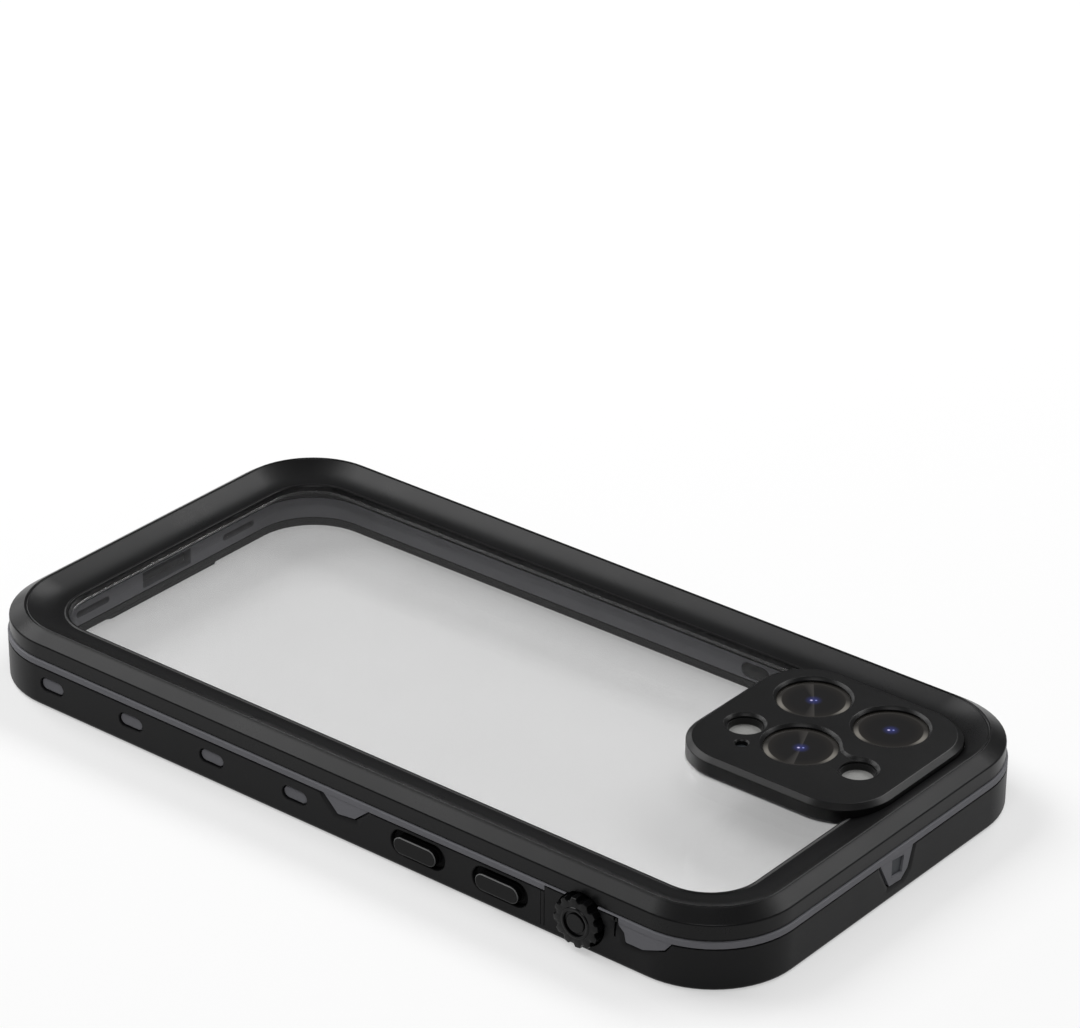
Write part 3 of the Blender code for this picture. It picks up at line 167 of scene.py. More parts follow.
# %% A material in the making
class Finish:
    """node() adds any node and plugs values or signals into its sockets."""

    def __init__(self, name):
        self.material = bpy.data.materials.new(name)
        self.material.use_nodes = True
        self.tree = self.material.node_tree
        self.shader = self.tree.nodes["Principled BSDF"]
        self.place = self.node("TexCoord", output="Object")

    def node(self, kind, settings=None, *values, output=0, **named):
        made = self.tree.nodes.new("ShaderNode" + kind)
        for setting, value in (settings or {}).items():
            setattr(made, setting, value)
        for key, value in list(enumerate(values)) + list(named.items()):
            self.plug(made.inputs[key], value)
        return Signal(self, made.outputs[output])

    def plug(self, socket, value):
        if isinstance(value, Signal):
            self.tree.links.new(value.socket, socket)
        elif socket.type == "RGBA" and len(value) == 3:
            socket.default_value = (*value, 1.0)
        else:
            socket.default_value = value

    def vectors(self, operation, *values, output=0):
        return self.node("VectorMath", {"operation": operation}, *values, output=output)

    def noise(self, size, detail=2.0, roughness=0.5):
        """Noise whose spots are about this size in metres, from 0 to 1."""
        values = {"Vector": self.place, "Scale": 1.0 / size, "Detail": detail, "Roughness": roughness}
        return self.node("TexNoise", **values)

    def mix(self, share, first, second):
        """A colour between two colours, which are sockets 6 and 7 of the node."""
        mixed = self.node("Mix", {"data_type": "RGBA"}, share, output=2)
        for number, color in ((6, first), (7, second)):
            self.plug(mixed.socket.node.inputs[number], color)
        return mixed

    def bump(self, height, depth):
        """Relief of this depth in metres on the surface."""
        self.paint(Normal=self.node("Bump", Height=height, Distance=depth))

    def paint(self, **sockets):
        for name, value in sockets.items():
            self.plug(self.shader.inputs[name.replace("_", " ")], value)


print("shader helpers are ready")

# %% [markdown]
# ## Black plastic
#
# The shells come from a finely sparked mould, which leaves a dull grain of about a tenth of a
# millimetre, and handling makes their gloss slightly uneven. Both are noise, one fine and one
# coarse, that moves the colour and the roughness a little. The controls are smoother and darker.

# %% Make the black plastics
GRAIN_SIZE = 0.00016
GRAIN_DEPTH = 0.000006
HANDLING_SIZE = 0.012
PALER = 1.25


def black_plastic(name, color, gloss, grain_depth, specular):
    finish = Finish(name)
    grain = finish.noise(GRAIN_SIZE, 1.0)
    handling = finish.noise(HANDLING_SIZE, 3.0)
    lighter = [channel * PALER for channel in color]
    finish.paint(
        Base_Color=finish.mix(grain * 0.5 + handling * 0.5, color, lighter),
        Roughness=gloss + (handling - 0.5) * 0.12 + (grain - 0.5) * 0.08,
        Specular_IOR_Level=specular,
    )
    finish.bump(grain, grain_depth)
    return finish.material


shell_black = black_plastic("shell_black", (0.0075, 0.0075, 0.008), 0.4, GRAIN_DEPTH, 0.13)
bezel_black = black_plastic("bezel_black", (0.0062, 0.0062, 0.0065), 0.3, GRAIN_DEPTH * 0.7, 0.165)
plate_black = black_plastic("plate_black", (0.0055, 0.0055, 0.0057), 0.33, GRAIN_DEPTH * 0.7, 0.2)
control_black = black_plastic("control_black", (0.0025, 0.0025, 0.0027), 0.22, GRAIN_DEPTH * 0.3, 0.18)
print("black plastics:", shell_black.name, bezel_black.name, plate_black.name, control_black.name)

# %% [markdown]
# ## Rubber
#
# The band is grey rubber, duller and softer than the shells. Its colour drifts in wide clouds.

# %% Make the rubbers
RUBBER_GRAIN = 0.0003
RUBBER_SPECULAR = 0.3
DARKER = 0.8


def rubber(name, color, roughness, depth):
    finish = Finish(name)
    grain = finish.noise(RUBBER_GRAIN, 3.0, 0.6)
    cloud = finish.noise(HANDLING_SIZE * 1.5, 2.0)
    shade = [channel * DARKER for channel in color]
    finish.paint(
        Base_Color=finish.mix(grain * 0.4 + cloud * 0.6, shade, color),
        Roughness=roughness + (grain - 0.5) * 0.15,
        Specular_IOR_Level=RUBBER_SPECULAR,
    )
    finish.bump(grain, depth)
    return finish.material


band_grey = rubber("band_grey", (0.198, 0.198, 0.215), 0.62, 0.00001)
seal_black = rubber("seal_black", (0.014, 0.014, 0.014), 0.66, 0.000008)
plug_grey = rubber("plug_grey", (0.07, 0.07, 0.075), 0.6, 0.00001)
print("rubbers:", band_grey.name, seal_black.name, plug_grey.name)

# %% [markdown]
# ## Clear sheets
#
# The back and the film are clear, with a slight haze. Alpha would thin the mirroring of plain
# plastic too, so what is left of the sheet is a faint mirror, which grows towards a flat view as
# on real plastic.

# %% Make the clear sheets
HAZE_SIZE = 0.02
SHEET_GREY = (0.9, 0.9, 0.9)


def clear_sheet(name, alpha, shine, roughness):
    finish = Finish(name)
    haze = finish.noise(HAZE_SIZE, 3.0)
    flat_view = finish.node("LayerWeight", None, output="Facing", Blend=0.5)
    finish.paint(
        Base_Color=SHEET_GREY,
        Metallic=1.0,
        Alpha=alpha + flat_view * flat_view * shine + (haze - 0.5) * 0.02,
        Roughness=roughness + haze * 0.04,
    )
    return finish.material


back_clear = clear_sheet("back_clear", 0.03, 0.35, 0.03)
film_clear = clear_sheet("film_clear", 0.02, 0.2, 0.05)
print("clear sheets:", back_clear.name, film_clear.name)

# %% [markdown]
# ## Distances on a window
#
# What is painted on a round window lies in rings and spots. Each is a distance from some place,
# cut off softly. The painted wedge of light, a painted reflection, is made of two distances: along
# its line and beside it.

# %% Distances and the painted wedge of light
WEDGE_WIDTH = 0.34
WEDGE_EDGE = 0.01


def distance_from(finish, centre):
    """How far a point lies from an upright axis through the centre."""
    offset = finish.vectors("SUBTRACT", finish.place, tuple(centre))
    flat = finish.vectors("MULTIPLY", offset, (1.0, 1.0, 0.0))
    return finish.vectors("LENGTH", flat, output="Value")


def painted_light_wedge(finish, centre, radius, line):
    """A painted wedge of light through the centre, sharp along its line and fading to one side."""
    turn = math.radians(line)
    offset = finish.vectors("SUBTRACT", finish.place, tuple(centre))
    line_way, side_way = (math.cos(turn), math.sin(turn), 0.0), (math.sin(turn), -math.cos(turn), 0.0)
    along = finish.vectors("DOT_PRODUCT", offset, line_way, output="Value")
    aside = finish.vectors("DOT_PRODUCT", offset, side_way, output="Value")
    reach = along.maths("ABSOLUTE", along) * WEDGE_WIDTH + radius * WEDGE_EDGE
    fade = aside.maths("MAXIMUM", 1.0 + aside / reach, 0.0)
    return fade * (1.0 - aside.above(radius * WEDGE_EDGE, radius * WEDGE_EDGE * 1.5))


print("a wedge fades over", WEDGE_WIDTH, "of its reach")

# %% [markdown]
# ## Lens glass with painted light
#
# Each lens window is dark glass, warmer towards its edge, with a metal ring painted in it that
# has painted highlights at two places. The middle has a painted blue reflection of the coating with
# two painted glints, and in two of the windows a painted wedge of light, a painted reflection, lies
# across the middle, sharp on one side. The measures are shares of the window's radius.

# %% Lens glass with painted highlights, glints and reflections
GLASS_MIDDLE, GLASS_OUTER = (0.0105, 0.01, 0.01), (0.02, 0.018, 0.016)
# painted light of the wedge, and how much of it shows
WEDGE_PAINTED_LIGHT, WEDGE_SHARE = (0.055, 0.051, 0.048), 0.8
RING_INNER, RING_MIDDLE, RING_OUTER = 0.79, 0.86, 0.905
RING_GREY, RING_PAINTED_HIGHLIGHT = (0.03, 0.028, 0.026), (0.2, 0.188, 0.168)
# painted highlights on the painted ring, at two angles in degrees
RING_HIGHLIGHT_ANGLES = (-125, 8)
HIGHLIGHT_REACH, HIGHLIGHT_FADE = 0.27, 0.24
# the painted blue reflection in the middle and the two painted glints, in shares of the radius
BLUE_REFLECTION_REACH, BLUE_REFLECTION_FADE, PAINTED_BLUE_REFLECTION = 0.13, 0.12, (0.03, 0.035, 0.14)
PAINTED_GLINTS = ((-0.055, 0.03, (0.62, 0.58, 0.9)), (0.06, 0.022, (0.3, 0.34, 0.75)))


def lens_glass_with_painted_light(name, centre, radius, wedge_line=None):
    finish = Finish(name)
    away = distance_from(finish, centre)
    color = finish.mix(away.above(radius * 0.72, radius * 0.2), GLASS_MIDDLE, GLASS_OUTER)
    # a painted wedge of light, a painted reflection, across two of the windows
    if wedge_line is not None:
        wedge = painted_light_wedge(finish, centre, radius, wedge_line)
        color = finish.mix(wedge * WEDGE_SHARE, color, WEDGE_PAINTED_LIGHT)
    ring_end = away.above(radius * RING_OUTER, radius * 0.01)
    ring = away.above(radius * RING_INNER, radius * 0.02) * (1.0 - ring_end)
    color = finish.mix(ring, color, RING_GREY)
    # painted highlights at two places on the ring
    for angle in RING_HIGHLIGHT_ANGLES:
        turn = math.radians(angle)
        place = centre + Vector((math.cos(turn), math.sin(turn), 0.0)) * radius * RING_MIDDLE
        off_highlight = distance_from(finish, place).above(radius * HIGHLIGHT_REACH, radius * HIGHLIGHT_FADE)
        color = finish.mix(ring * (1.0 - off_highlight), color, RING_PAINTED_HIGHLIGHT)
    # painted blue reflection of the coating over the middle
    outside_blue_reflection = away.above(radius * BLUE_REFLECTION_REACH, radius * BLUE_REFLECTION_FADE)
    color = finish.mix(1.0 - outside_blue_reflection, color, PAINTED_BLUE_REFLECTION)
    # two painted glints near the middle
    for along, size, glint in PAINTED_GLINTS:
        spot = distance_from(finish, centre + Vector((along * 0.8, along * 0.6, 0)) * radius)
        color = finish.mix(1.0 - spot.above(radius * size, radius * 0.02), color, glint)
    finish.paint(Base_Color=color, Roughness=0.06 + finish.noise(HAZE_SIZE, 2.0) * 0.04,
                 Specular_IOR_Level=0.5)
    return finish.material


print("rings gleam at", RING_HIGHLIGHT_ANGLES, "degrees")

# %% [markdown]
# ## The cups of the flash and the sensor
#
# These two small windows are clear panes over a pale frosted floor. A black cup with such a floor
# looks the same and needs no layers of glass.

# %% The finish of the cups
FROST_DARK, FROST_PALE = (0.2, 0.2, 0.195), (0.32, 0.32, 0.31)
CUP_BLACK = (0.012, 0.012, 0.012)
FROST_DEPTH = 0.00001


def light_cup(name, centre, radius):
    finish = Finish(name)
    away = distance_from(finish, centre)
    frost = finish.noise(GRAIN_SIZE * 2, 2.0)
    pale = finish.mix(frost, FROST_DARK, FROST_PALE)
    finish.paint(Base_Color=finish.mix(away.above(radius, radius * 0.02), pale, CUP_BLACK),
                 Roughness=0.3 + frost * 0.2, Specular_IOR_Level=0.3)
    finish.bump(frost, FROST_DEPTH)
    return finish.material


print("frosted floors of about", FROST_PALE)

# %% [markdown]
# ## Membranes and steel
#
# The membranes are a fine woven mesh that lets sound through and keeps water out: a regular
# pattern of cells, with painted shade in each hole. The hinge pin is turned steel with fine streaks.

# %% Make the membrane cloth and the steel
WEAVE_PITCH = 0.00035
WEAVE_DEPTH = 0.00004
STREAK_SIZE = 0.0004


def membrane_cloth(name):
    finish = Finish(name)
    values = {"Vector": finish.place, "Scale": 1.0 / WEAVE_PITCH, "Randomness": 0.0}
    cell = finish.node("TexVoronoi", {"feature": "F1"}, **values)
    # painted shade: each hole of the mesh is painted darker
    hole_shade = 1.0 - cell.above(0.32, 0.12)
    finish.paint(Base_Color=finish.mix(hole_shade, (0.062, 0.068, 0.076), (0.03, 0.033, 0.038)),
                 Roughness=0.6, Specular_IOR_Level=0.35)
    finish.bump(cell, WEAVE_DEPTH)
    return finish.material


def turned_steel(name):
    finish = Finish(name)
    streak = finish.noise(STREAK_SIZE, 4.0, 0.7)
    finish.paint(Base_Color=finish.mix(streak, (0.42, 0.42, 0.43), (0.6, 0.6, 0.6)), Metallic=1.0,
                 Roughness=0.25 + streak * 0.2)
    return finish.material


membrane_grey = membrane_cloth("membrane_grey")
pin_steel = turned_steel("pin_steel")
print("membrane and steel:", membrane_grey.name, pin_steel.name)

# %% [markdown]
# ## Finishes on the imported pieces
#
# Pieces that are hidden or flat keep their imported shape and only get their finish. The others
# are replaced further down.

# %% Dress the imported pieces
NODE_FINISHES = {
    "front_frame": shell_black, "soft_liner": band_grey, "rear_frame": bezel_black,
    "rear_window": back_clear, "main_seal": seal_black, "camera_plate": plate_black,
    "screen_film": film_clear, "screen_gasket": seal_black, "earpiece_membrane": membrane_grey,
    "microphone_membrane": membrane_grey, "top_membrane": membrane_grey,
    "speaker_membrane_left": membrane_grey, "speaker_membrane_right": membrane_grey,
    "port_cover": shell_black, "port_plug": plug_grey, "port_hinge_pin": pin_steel,
    "mute_knob": control_black, "mute_fork": control_black, "mute_ring": seal_black,
}
for control in ("volume_up", "volume_down", "power"):
    NODE_FINISHES[control + "_button"] = control_black
    NODE_FINISHES[control + "_plunger"] = control_black
    NODE_FINISHES[control + "_ring"] = seal_black


def dress(item, material):
    item.data.materials.clear()
    item.data.materials.append(material)


for node_name, material in NODE_FINISHES.items():
    dress(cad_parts[node_name], material)
print("dressed", len(NODE_FINISHES), "packed pieces")

# %% [markdown]
# ## Lofting through bridged loops
#
# Most pieces of a case are one cross section carried round an outline, or one outline carried
# along a depth. By hand that is a set of closed edge loops, bridged one to the next. The helpers
# below add each loop as a beveled plane or a circle, at its size and place.

# %% Loops
CORNER_STEPS = 16
END_ROUND = 0.4999


def pick_only(*items):
    bpy.ops.object.select_all(action="DESELECT")
    for item in items:
        item.select_set(True)
    bpy.context.view_layer.objects.active = items[-1]


def rounded_box(half_x, half_y, radius, centre, steps=CORNER_STEPS):
    """A rounded rectangle: a plane, scaled, whose four corners are beveled."""
    def add():
        bpy.ops.mesh.primitive_plane_add(size=2, location=centre)
        bpy.ops.transform.resize(value=(half_x, half_y, 1), center_override=centre)
        bpy.ops.mesh.bevel(offset=radius, segments=steps, affect="VERTICES")
    return add


def stadium(length, height, depth, steps=8):
    """A slot shape at a depth of a wall: a rectangle whose ends are all but half circles."""
    return rounded_box(length / 2, height / 2, height * END_ROUND, (0, 0, depth), steps)


def circle(radius, depth, count=48):
    def add():
        bpy.ops.mesh.primitive_circle_add(vertices=count, radius=radius, fill_type="NGON",
                                          location=(0, 0, depth))
    return add


def polygon(points):
    """A loop through any points in space; it starts as a circle of as many vertices."""
    def add():
        bpy.ops.mesh.primitive_circle_add(vertices=len(points), radius=1, fill_type="NGON")
        mesh = bmesh.from_edit_mesh(bpy.context.object.data)
        for vertex, point in zip([v for v in mesh.verts if v.select], points):
            vertex.co = point
        bmesh.update_edit_mesh(bpy.context.object.data)
    return add


print("loops are ready, with", CORNER_STEPS, "steps a corner")

# %% [markdown]
# ## Bridging the loops
#
# The loops are joined in edit mode, as by hand: two neighbours are selected and bridged. Each
# point carries the number of its loop, so that the right ones are found again.

# %% The loft
MERGE_DISTANCE = 0.000001
LOOP_LIFT = 0.015


def pick_loops(item, wanted):
    bpy.ops.mesh.select_all(action="DESELECT")
    mesh = bmesh.from_edit_mesh(item.data)
    layer = mesh.verts.layers.int["loop"]
    for vertex in mesh.verts:
        vertex.select = vertex[layer] in wanted
    mesh.select_flush(True)
    bmesh.update_edit_mesh(item.data)


def loft(name, loops, closed=False, lift=LOOP_LIFT):
    """One piece from loops that are bridged in turn; an open loft is closed by two caps.

    Two loops at one height can be bridged the wrong way round, so while they are bridged each
    loop stands higher than the one before it.
    """
    bpy.ops.object.select_all(action="DESELECT")
    bpy.ops.object.add(type="MESH", location=(0, 0, 0))
    item = bpy.context.object
    item.name = name
    bpy.ops.object.mode_set(mode="EDIT")
    bmesh.from_edit_mesh(item.data).verts.layers.int.new("loop")
    for number, add_loop in enumerate(loops):
        bpy.ops.mesh.select_all(action="DESELECT")
        add_loop()
        mesh = bmesh.from_edit_mesh(item.data)
        layer = mesh.verts.layers.int["loop"]
        for vertex in mesh.verts:
            if vertex.select:
                vertex[layer] = number
        bpy.ops.transform.translate(value=(0, 0, lift * number))
        bpy.ops.mesh.delete(type="ONLY_FACE")
    last = len(loops) - 1
    pairs = [(number, number + 1) for number in range(last)] + ([(last, 0)] if closed else [])
    for pair in pairs:
        pick_loops(item, pair)
        bpy.ops.mesh.bridge_edge_loops()
    for end in () if closed else (0, last):
        pick_loops(item, (end,))
        bpy.ops.mesh.edge_face_add()
    for number in range(len(loops)):
        pick_loops(item, (number,))
        bpy.ops.transform.translate(value=(0, 0, -lift * number))
    bpy.ops.mesh.select_all(action="SELECT")
    bpy.ops.mesh.remove_doubles(threshold=MERGE_DISTANCE)
    bpy.ops.mesh.normals_make_consistent(inside=False)
    bpy.ops.object.mode_set(mode="OBJECT")
    return item


print("lofts merge points nearer than", MERGE_DISTANCE, "m")

# %% [markdown]
# ## Rounds in a profile
#
# Every edge of a moulded piece is slightly round, so a profile is given by its corners and the
# radius at each, and the points of the rounds are worked out from them.

# %% Rounded profiles
ROUND_STEPS = 4


def filleted(corners, steps=ROUND_STEPS):
    """Points of a closed profile from corners of (inset, height, radius of the round)."""
    points = []
    for number, (inset, height, radius) in enumerate(corners):
        corner = Vector((inset, height))
        before = (Vector(corners[number - 1][:2]) - corner).normalized()
        after = (Vector(corners[(number + 1) % len(corners)][:2]) - corner).normalized()
        if radius == 0:
            points.append((inset, height))
            continue
        half = before.angle(after) / 2
        centre = corner + (before + after).normalized() * radius / math.sin(half)
        first = (corner + before * radius / math.tan(half) - centre).normalized()
        last = (corner + after * radius / math.tan(half) - centre).normalized()
        for step in range(steps + 1):
            out = first.slerp(last, step / steps) * radius
            points.append((centre.x + out.x, centre.y + out.y))
    return points


print("a round has", ROUND_STEPS, "steps, unless a piece asks for more")

# %% [markdown]
# ## Cutting, joining and closing a piece
#
# Slots are cut with Boolean modifiers that are applied at once, and the cutter is deleted. What
# repeats is modelled once and copied to its places. A finished piece is shaded smooth up to an
# angle, with normals weighted by face size, so that large faces stay flat beside small rounds.

# %% Cut, join, place and close
SMOOTH_ANGLE = math.radians(32)


def combine(target, tools, operation="DIFFERENCE"):
    for tool in tools:
        modifier = target.modifiers.new("combine", "BOOLEAN")
        modifier.operation = operation
        modifier.solver = "EXACT"
        modifier.object = tool
        pick_only(target)
        bpy.ops.object.modifier_apply(modifier=modifier.name)
        bpy.data.objects.remove(tool, do_unlink=True)


def put(item, matrix):
    """Carry a piece to its place and write that place into its mesh."""
    item.matrix_world = matrix
    pick_only(item)
    bpy.ops.object.transform_apply(location=True, rotation=True, scale=True)
    return item


def copies(item, places):
    """One piece at several places, each copy with its own mesh; the pattern itself goes."""
    made = []
    for place in places:
        twin = item.copy()
        twin.data = item.data.copy()
        bpy.context.collection.objects.link(twin)
        made.append(put(twin, place))
    bpy.data.objects.remove(item, do_unlink=True)
    return made


def close(item, material, body, node):
    """Smooth a finished piece, give it its finish, hang it on its body and hide the piece it replaces."""
    pick_only(item)
    bpy.ops.object.shade_smooth_by_angle(angle=SMOOTH_ANGLE)
    weighted = item.modifiers.new("weighted", "WEIGHTED_NORMAL")
    weighted.keep_sharp = True
    bpy.ops.object.modifier_apply(modifier=weighted.name)
    dress(item, material)
    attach(item, body)
    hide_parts(node)
    print(item.name, "has", len(item.data.polygons), "faces")


print("cutting tools are ready")

# %% [markdown]
# ## The main measures
#
# The outline of the case is a rounded rectangle whose corners tighten towards the window. The
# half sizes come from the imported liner, whose band is the widest closed ring of the case.

# %% Measures of the case
band_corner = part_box("soft_liner")[1]
HALF_LENGTH = band_corner.x
HALF_WIDTH = band_corner.y
CORNER_RADIUS = 0.0155
CORNER_TAPER = 0.72
SHELL_WALL = 0.0015
LINER_INSET = 0.0018
CAVITY_INSET = 0.0056
RIM_WIDTH = 0.002
SHELF_LOW = 0.0016
SHELF_TOP = 0.0025
SHELL_TOP = 0.0073
BAND_LOW = 0.00745
BAND_TOP = 0.0086
ROOM_MIDDLE = 0.00485
OVERRUN = 0.001
WALL_TURNS = {"volume": 0.0, "top": math.pi / 2, "power": math.pi, "port": -math.pi / 2}
WALL_SIGNS = {"volume": 1, "top": 1, "power": -1, "port": -1}


def case_loops(profile):
    """Loops round the whole case from pairs of inset and height."""
    return [rounded_box(HALF_LENGTH - inset, HALF_WIDTH - inset, CORNER_RADIUS - CORNER_TAPER * inset,
                        (0, 0, height)) for inset, height in profile]


def on_wall(wall, along=0.0, height=0.0):
    """The place of a wall piece: x along the wall, y up and z out of the case."""
    reach = HALF_WIDTH if wall in ("volume", "power") else HALF_LENGTH
    place = Matrix.Translation((along * WALL_SIGNS[wall], -reach, height))
    return Matrix.Rotation(WALL_TURNS[wall], 4, "Z") @ place @ Matrix.Rotation(math.pi / 2, 4, "X")


print("half sizes in mm:", round(1000 * HALF_LENGTH, 2), round(1000 * HALF_WIDTH, 2))

# %% [markdown]
# ## Places along the walls
#
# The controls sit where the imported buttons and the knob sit. The grip pads follow each other at
# one pitch, and the power side has two more of them than the volume side.

# %% Places of controls and pads
PAD_LEVEL = ROOM_MIDDLE - 0.00035
PAD_FIRST = -0.0603
PAD_PITCH = 0.01787
PAD_COUNTS = {"volume": (0, 1, 2, 3), "power": (0, 1, 2, 3, 4, 6)}
PAD_PLACES = [on_wall(wall, PAD_FIRST + PAD_PITCH * count, PAD_LEVEL)
              for wall, counts in PAD_COUNTS.items() for count in counts]
PAD_SIZE = (0.0052, 0.0024)


def middle(node):
    low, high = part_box(node)
    return (low + high) / 2


BUTTON_SIZES = {"volume_up": 0.0086, "volume_down": 0.0086, "power": 0.0125}
BUTTON_WALLS = {"volume_up": "volume", "volume_down": "volume", "power": "power"}
BUTTON_HEIGHT = 0.003
BUTTON_LEVEL = middle("volume_up_button").z
BUTTON_PLACES = {name: (wall, middle(name + "_button").x) for name, wall in BUTTON_WALLS.items()}
KNOB_X = middle("mute_ring").x
KNOB_LEVEL = middle("mute_ring").z
knob_place = on_wall("volume", KNOB_X, KNOB_LEVEL)
print("buttons in mm:", {name: round(1000 * along, 2) for name, (_, along) in BUTTON_PLACES.items()})
print("knob in mm:", round(1000 * KNOB_X, 2), round(1000 * KNOB_LEVEL, 2))

# %% [markdown]
# ## Cutters for the walls
#
# A moulded slot never has a knife edge: its mouth is slightly rounded, and that round draws the
# thin light line which shows the slot at all on black plastic. So each cutter flares at its mouth.

# %% Cutters
MOUTH = 0.00012
MOUTH_OVERRUN = 0.0001


def slot_cutter(size, depth, steps=8):
    """A cutter for a slot with round ends and a flared mouth."""
    length, height = size
    grow = 2 * (MOUTH + MOUTH_OVERRUN)
    loops = [stadium(length, height, -depth, steps), stadium(length, height, -MOUTH, steps),
             stadium(length + grow, height + grow, MOUTH_OVERRUN, steps)]
    return loft("slot_cutter", loops)


def rectangle(left, right, low, high):
    return [(left, low), (right, low), (right, high), (left, high)]


def prism(points, low, high, matrix=Matrix.Identity(4)):
    loops = [polygon([(x, y, depth) for x, y in points]) for depth in (low, high)]
    return put(loft("prism", loops), matrix)


def slab(points, half_width, matrix):
    """A profile of heights and reaches, pushed sideways both ways from the middle."""
    loops = [polygon([(side * half_width, up, out) for up, out in points]) for side in (-1, 1)]
    return put(loft("slab", loops, lift=0.0), matrix)


def drum(radius, low, high, matrix, count=48):
    return put(loft("drum", [circle(radius, low, count), circle(radius, high, count)]), matrix)


def arc(centre, radius, first, last, steps):
    angles = [math.radians(first + (last - first) * step / steps) for step in range(steps + 1)]
    return [(centre[0] + radius * math.cos(angle), centre[1] + radius * math.sin(angle))
            for angle in angles]


print("cutters are ready, with mouths of", 1000 * MOUTH, "mm")

# %% [markdown]
# ## Chevrons and panels
#
# The grey liner shows through the black shell in zigzag fields beside the controls and in two
# long panels beside the port. One outline makes both the notch in the shell, a little larger,
# and the raised field of the liner. A corner of a chevron is a place along the wall and a share
# of the chevron's depth.

# %% Outlines of chevrons and panels
NOTCH_GAP = 0.0002
CHEVRON_DEPTH = 0.0028
TOP_CHEVRON_DEPTH = 0.005
CHEVRON_ROUND = 0.0003
FIRST_CHEVRON = ((-0.0008, 1.0), (0.0024, 0.0), (0.0059, 0.15), (0.009, 1.0))
SECOND_CHEVRON = ((-0.0018, 1.0), (-0.001, 0.8), (-0.0002, 0.55), (0.0001, 0.0),
                  (0.0033, 0.0), (0.0072, 0.5), (0.0085, 1.0))
TOP_CHEVRON = ((-0.00385, 1.0), (-0.0011, 0.04), (0.002, 0.0), (0.0037, 0.27), (0.005, 1.0))
CHEVRONS = (("volume", 0.0, FIRST_CHEVRON, CHEVRON_DEPTH),
            ("volume", 0.0596, SECOND_CHEVRON, CHEVRON_DEPTH),
            ("top", 0.0, TOP_CHEVRON, TOP_CHEVRON_DEPTH))
PANEL_NEAR = 0.01075
PANEL_FAR = 0.02575
PANEL_FOOT = 0.0031
PANEL_SLANT = 0.0012


def chevron_outline(shape, depth, grow=0.0):
    """A chevron that hangs from the band; its heights are shares of its depth."""
    foot = BAND_LOW - depth
    half = (shape[0][0] + shape[-1][0]) / 2
    points = []
    for along, share in shape:
        side = -1 if along < half else 1
        height = BAND_LOW + OVERRUN / 4 if share == 1.0 else foot + share * depth - grow
        points.append((along + side * grow, height, 0.0 if share == 1.0 else CHEVRON_ROUND))
    return filleted(points, 3)


def panel_outline(side, inset=0.0):
    near, far = PANEL_NEAR + inset, PANEL_FAR - inset
    low, high = PANEL_FOOT + inset, BAND_LOW - inset
    return [(side * near, low), (side * (far - PANEL_SLANT), low), (side * far, high), (side * near, high)]


print("chevrons:", len(CHEVRONS), "and panels: 2")

# %% [markdown]
# ## The front shell
#
# The hard shell is one section carried round the case: a well rounded rim, the outer wall and
# the shelf that the film is glued to. A tab at the port end widens the rim, and a low housing
# stands out round the knob.

# %% Loft the front shell
RIM_ROUND = 0.0008
TOP_EDGE = 0.00012
shell_corners = [
    (0.0, 0.0, RIM_ROUND), (0.0, SHELL_TOP, TOP_EDGE), (SHELL_WALL, SHELL_TOP, 0.0),
    (SHELL_WALL, SHELF_TOP, 0.0), (CAVITY_INSET, SHELF_TOP, 0.0), (CAVITY_INSET, SHELF_LOW, 0.0),
    (RIM_WIDTH, SHELF_LOW, 0.0), (RIM_WIDTH, 0.0, 0.0003),
]
shell = loft("front_shell", case_loops(filleted(shell_corners, 6)), closed=True)

TAB_TIP = HALF_LENGTH - RIM_WIDTH - 0.0026
TAB_ROOT = HALF_LENGTH - RIM_WIDTH + 0.0001
TAB_HALF = 0.013
TAB_SLANT = 0.004
tab_outline = [(-TAB_ROOT, TAB_HALF + TAB_SLANT), (-TAB_ROOT, -TAB_HALF - TAB_SLANT),
               (-TAB_TIP, -TAB_HALF), (-TAB_TIP, TAB_HALF)]
HOUSING_WIDTH = 0.0139
HOUSING_LOW = SHELL_TOP - 0.001
HOUSING_HIGH = SHELL_TOP + 0.001
HOUSING_PROUD = 0.00015
HOUSING_SUNK = 0.0001 - SHELL_WALL


def housing(grow):
    half = HOUSING_WIDTH / 2 + grow
    outline = rectangle(-half, half, HOUSING_LOW - grow, HOUSING_HIGH + grow)
    return prism(outline, HOUSING_SUNK - grow, HOUSING_PROUD + grow, on_wall("volume", KNOB_X))


combine(shell, [prism(tab_outline, 0.0, SHELF_LOW + 0.0001), housing(0.0)], "UNION")
print("front shell with", len(shell.data.polygons), "faces")

# %% [markdown]
# ## The openings of the shell
#
# Behind the shell lies the liner, so each opening goes through the whole wall and slightly on.
# The notches of the chevrons flare outwards in a wide facet.

# %% Openings for pads, controls and chevrons
THROUGH = SHELL_WALL + 0.00015
RECESS_ALONG = 0.0024
RECESS_UP = 0.0014
KNOB_RECESS_RADIUS = 0.00455
DRUM_STEPS = 64
FACET_DEPTH = 0.00035
FACET_WIDTH = 0.0007
NOTCH_LEVELS = ((-SHELL_WALL - OVERRUN, 0.0), (-FACET_DEPTH, 0.0), (FACET_DEPTH, 2 * FACET_WIDTH))
openings = copies(slot_cutter(PAD_SIZE, THROUGH), PAD_PLACES)
for name, (wall, along) in BUTTON_PLACES.items():
    size = (BUTTON_SIZES[name] + RECESS_ALONG, BUTTON_HEIGHT + RECESS_UP)
    openings.append(put(slot_cutter(size, THROUGH, 12), on_wall(wall, along, BUTTON_LEVEL)))
openings.append(drum(KNOB_RECESS_RADIUS, -THROUGH, OVERRUN, knob_place, DRUM_STEPS))
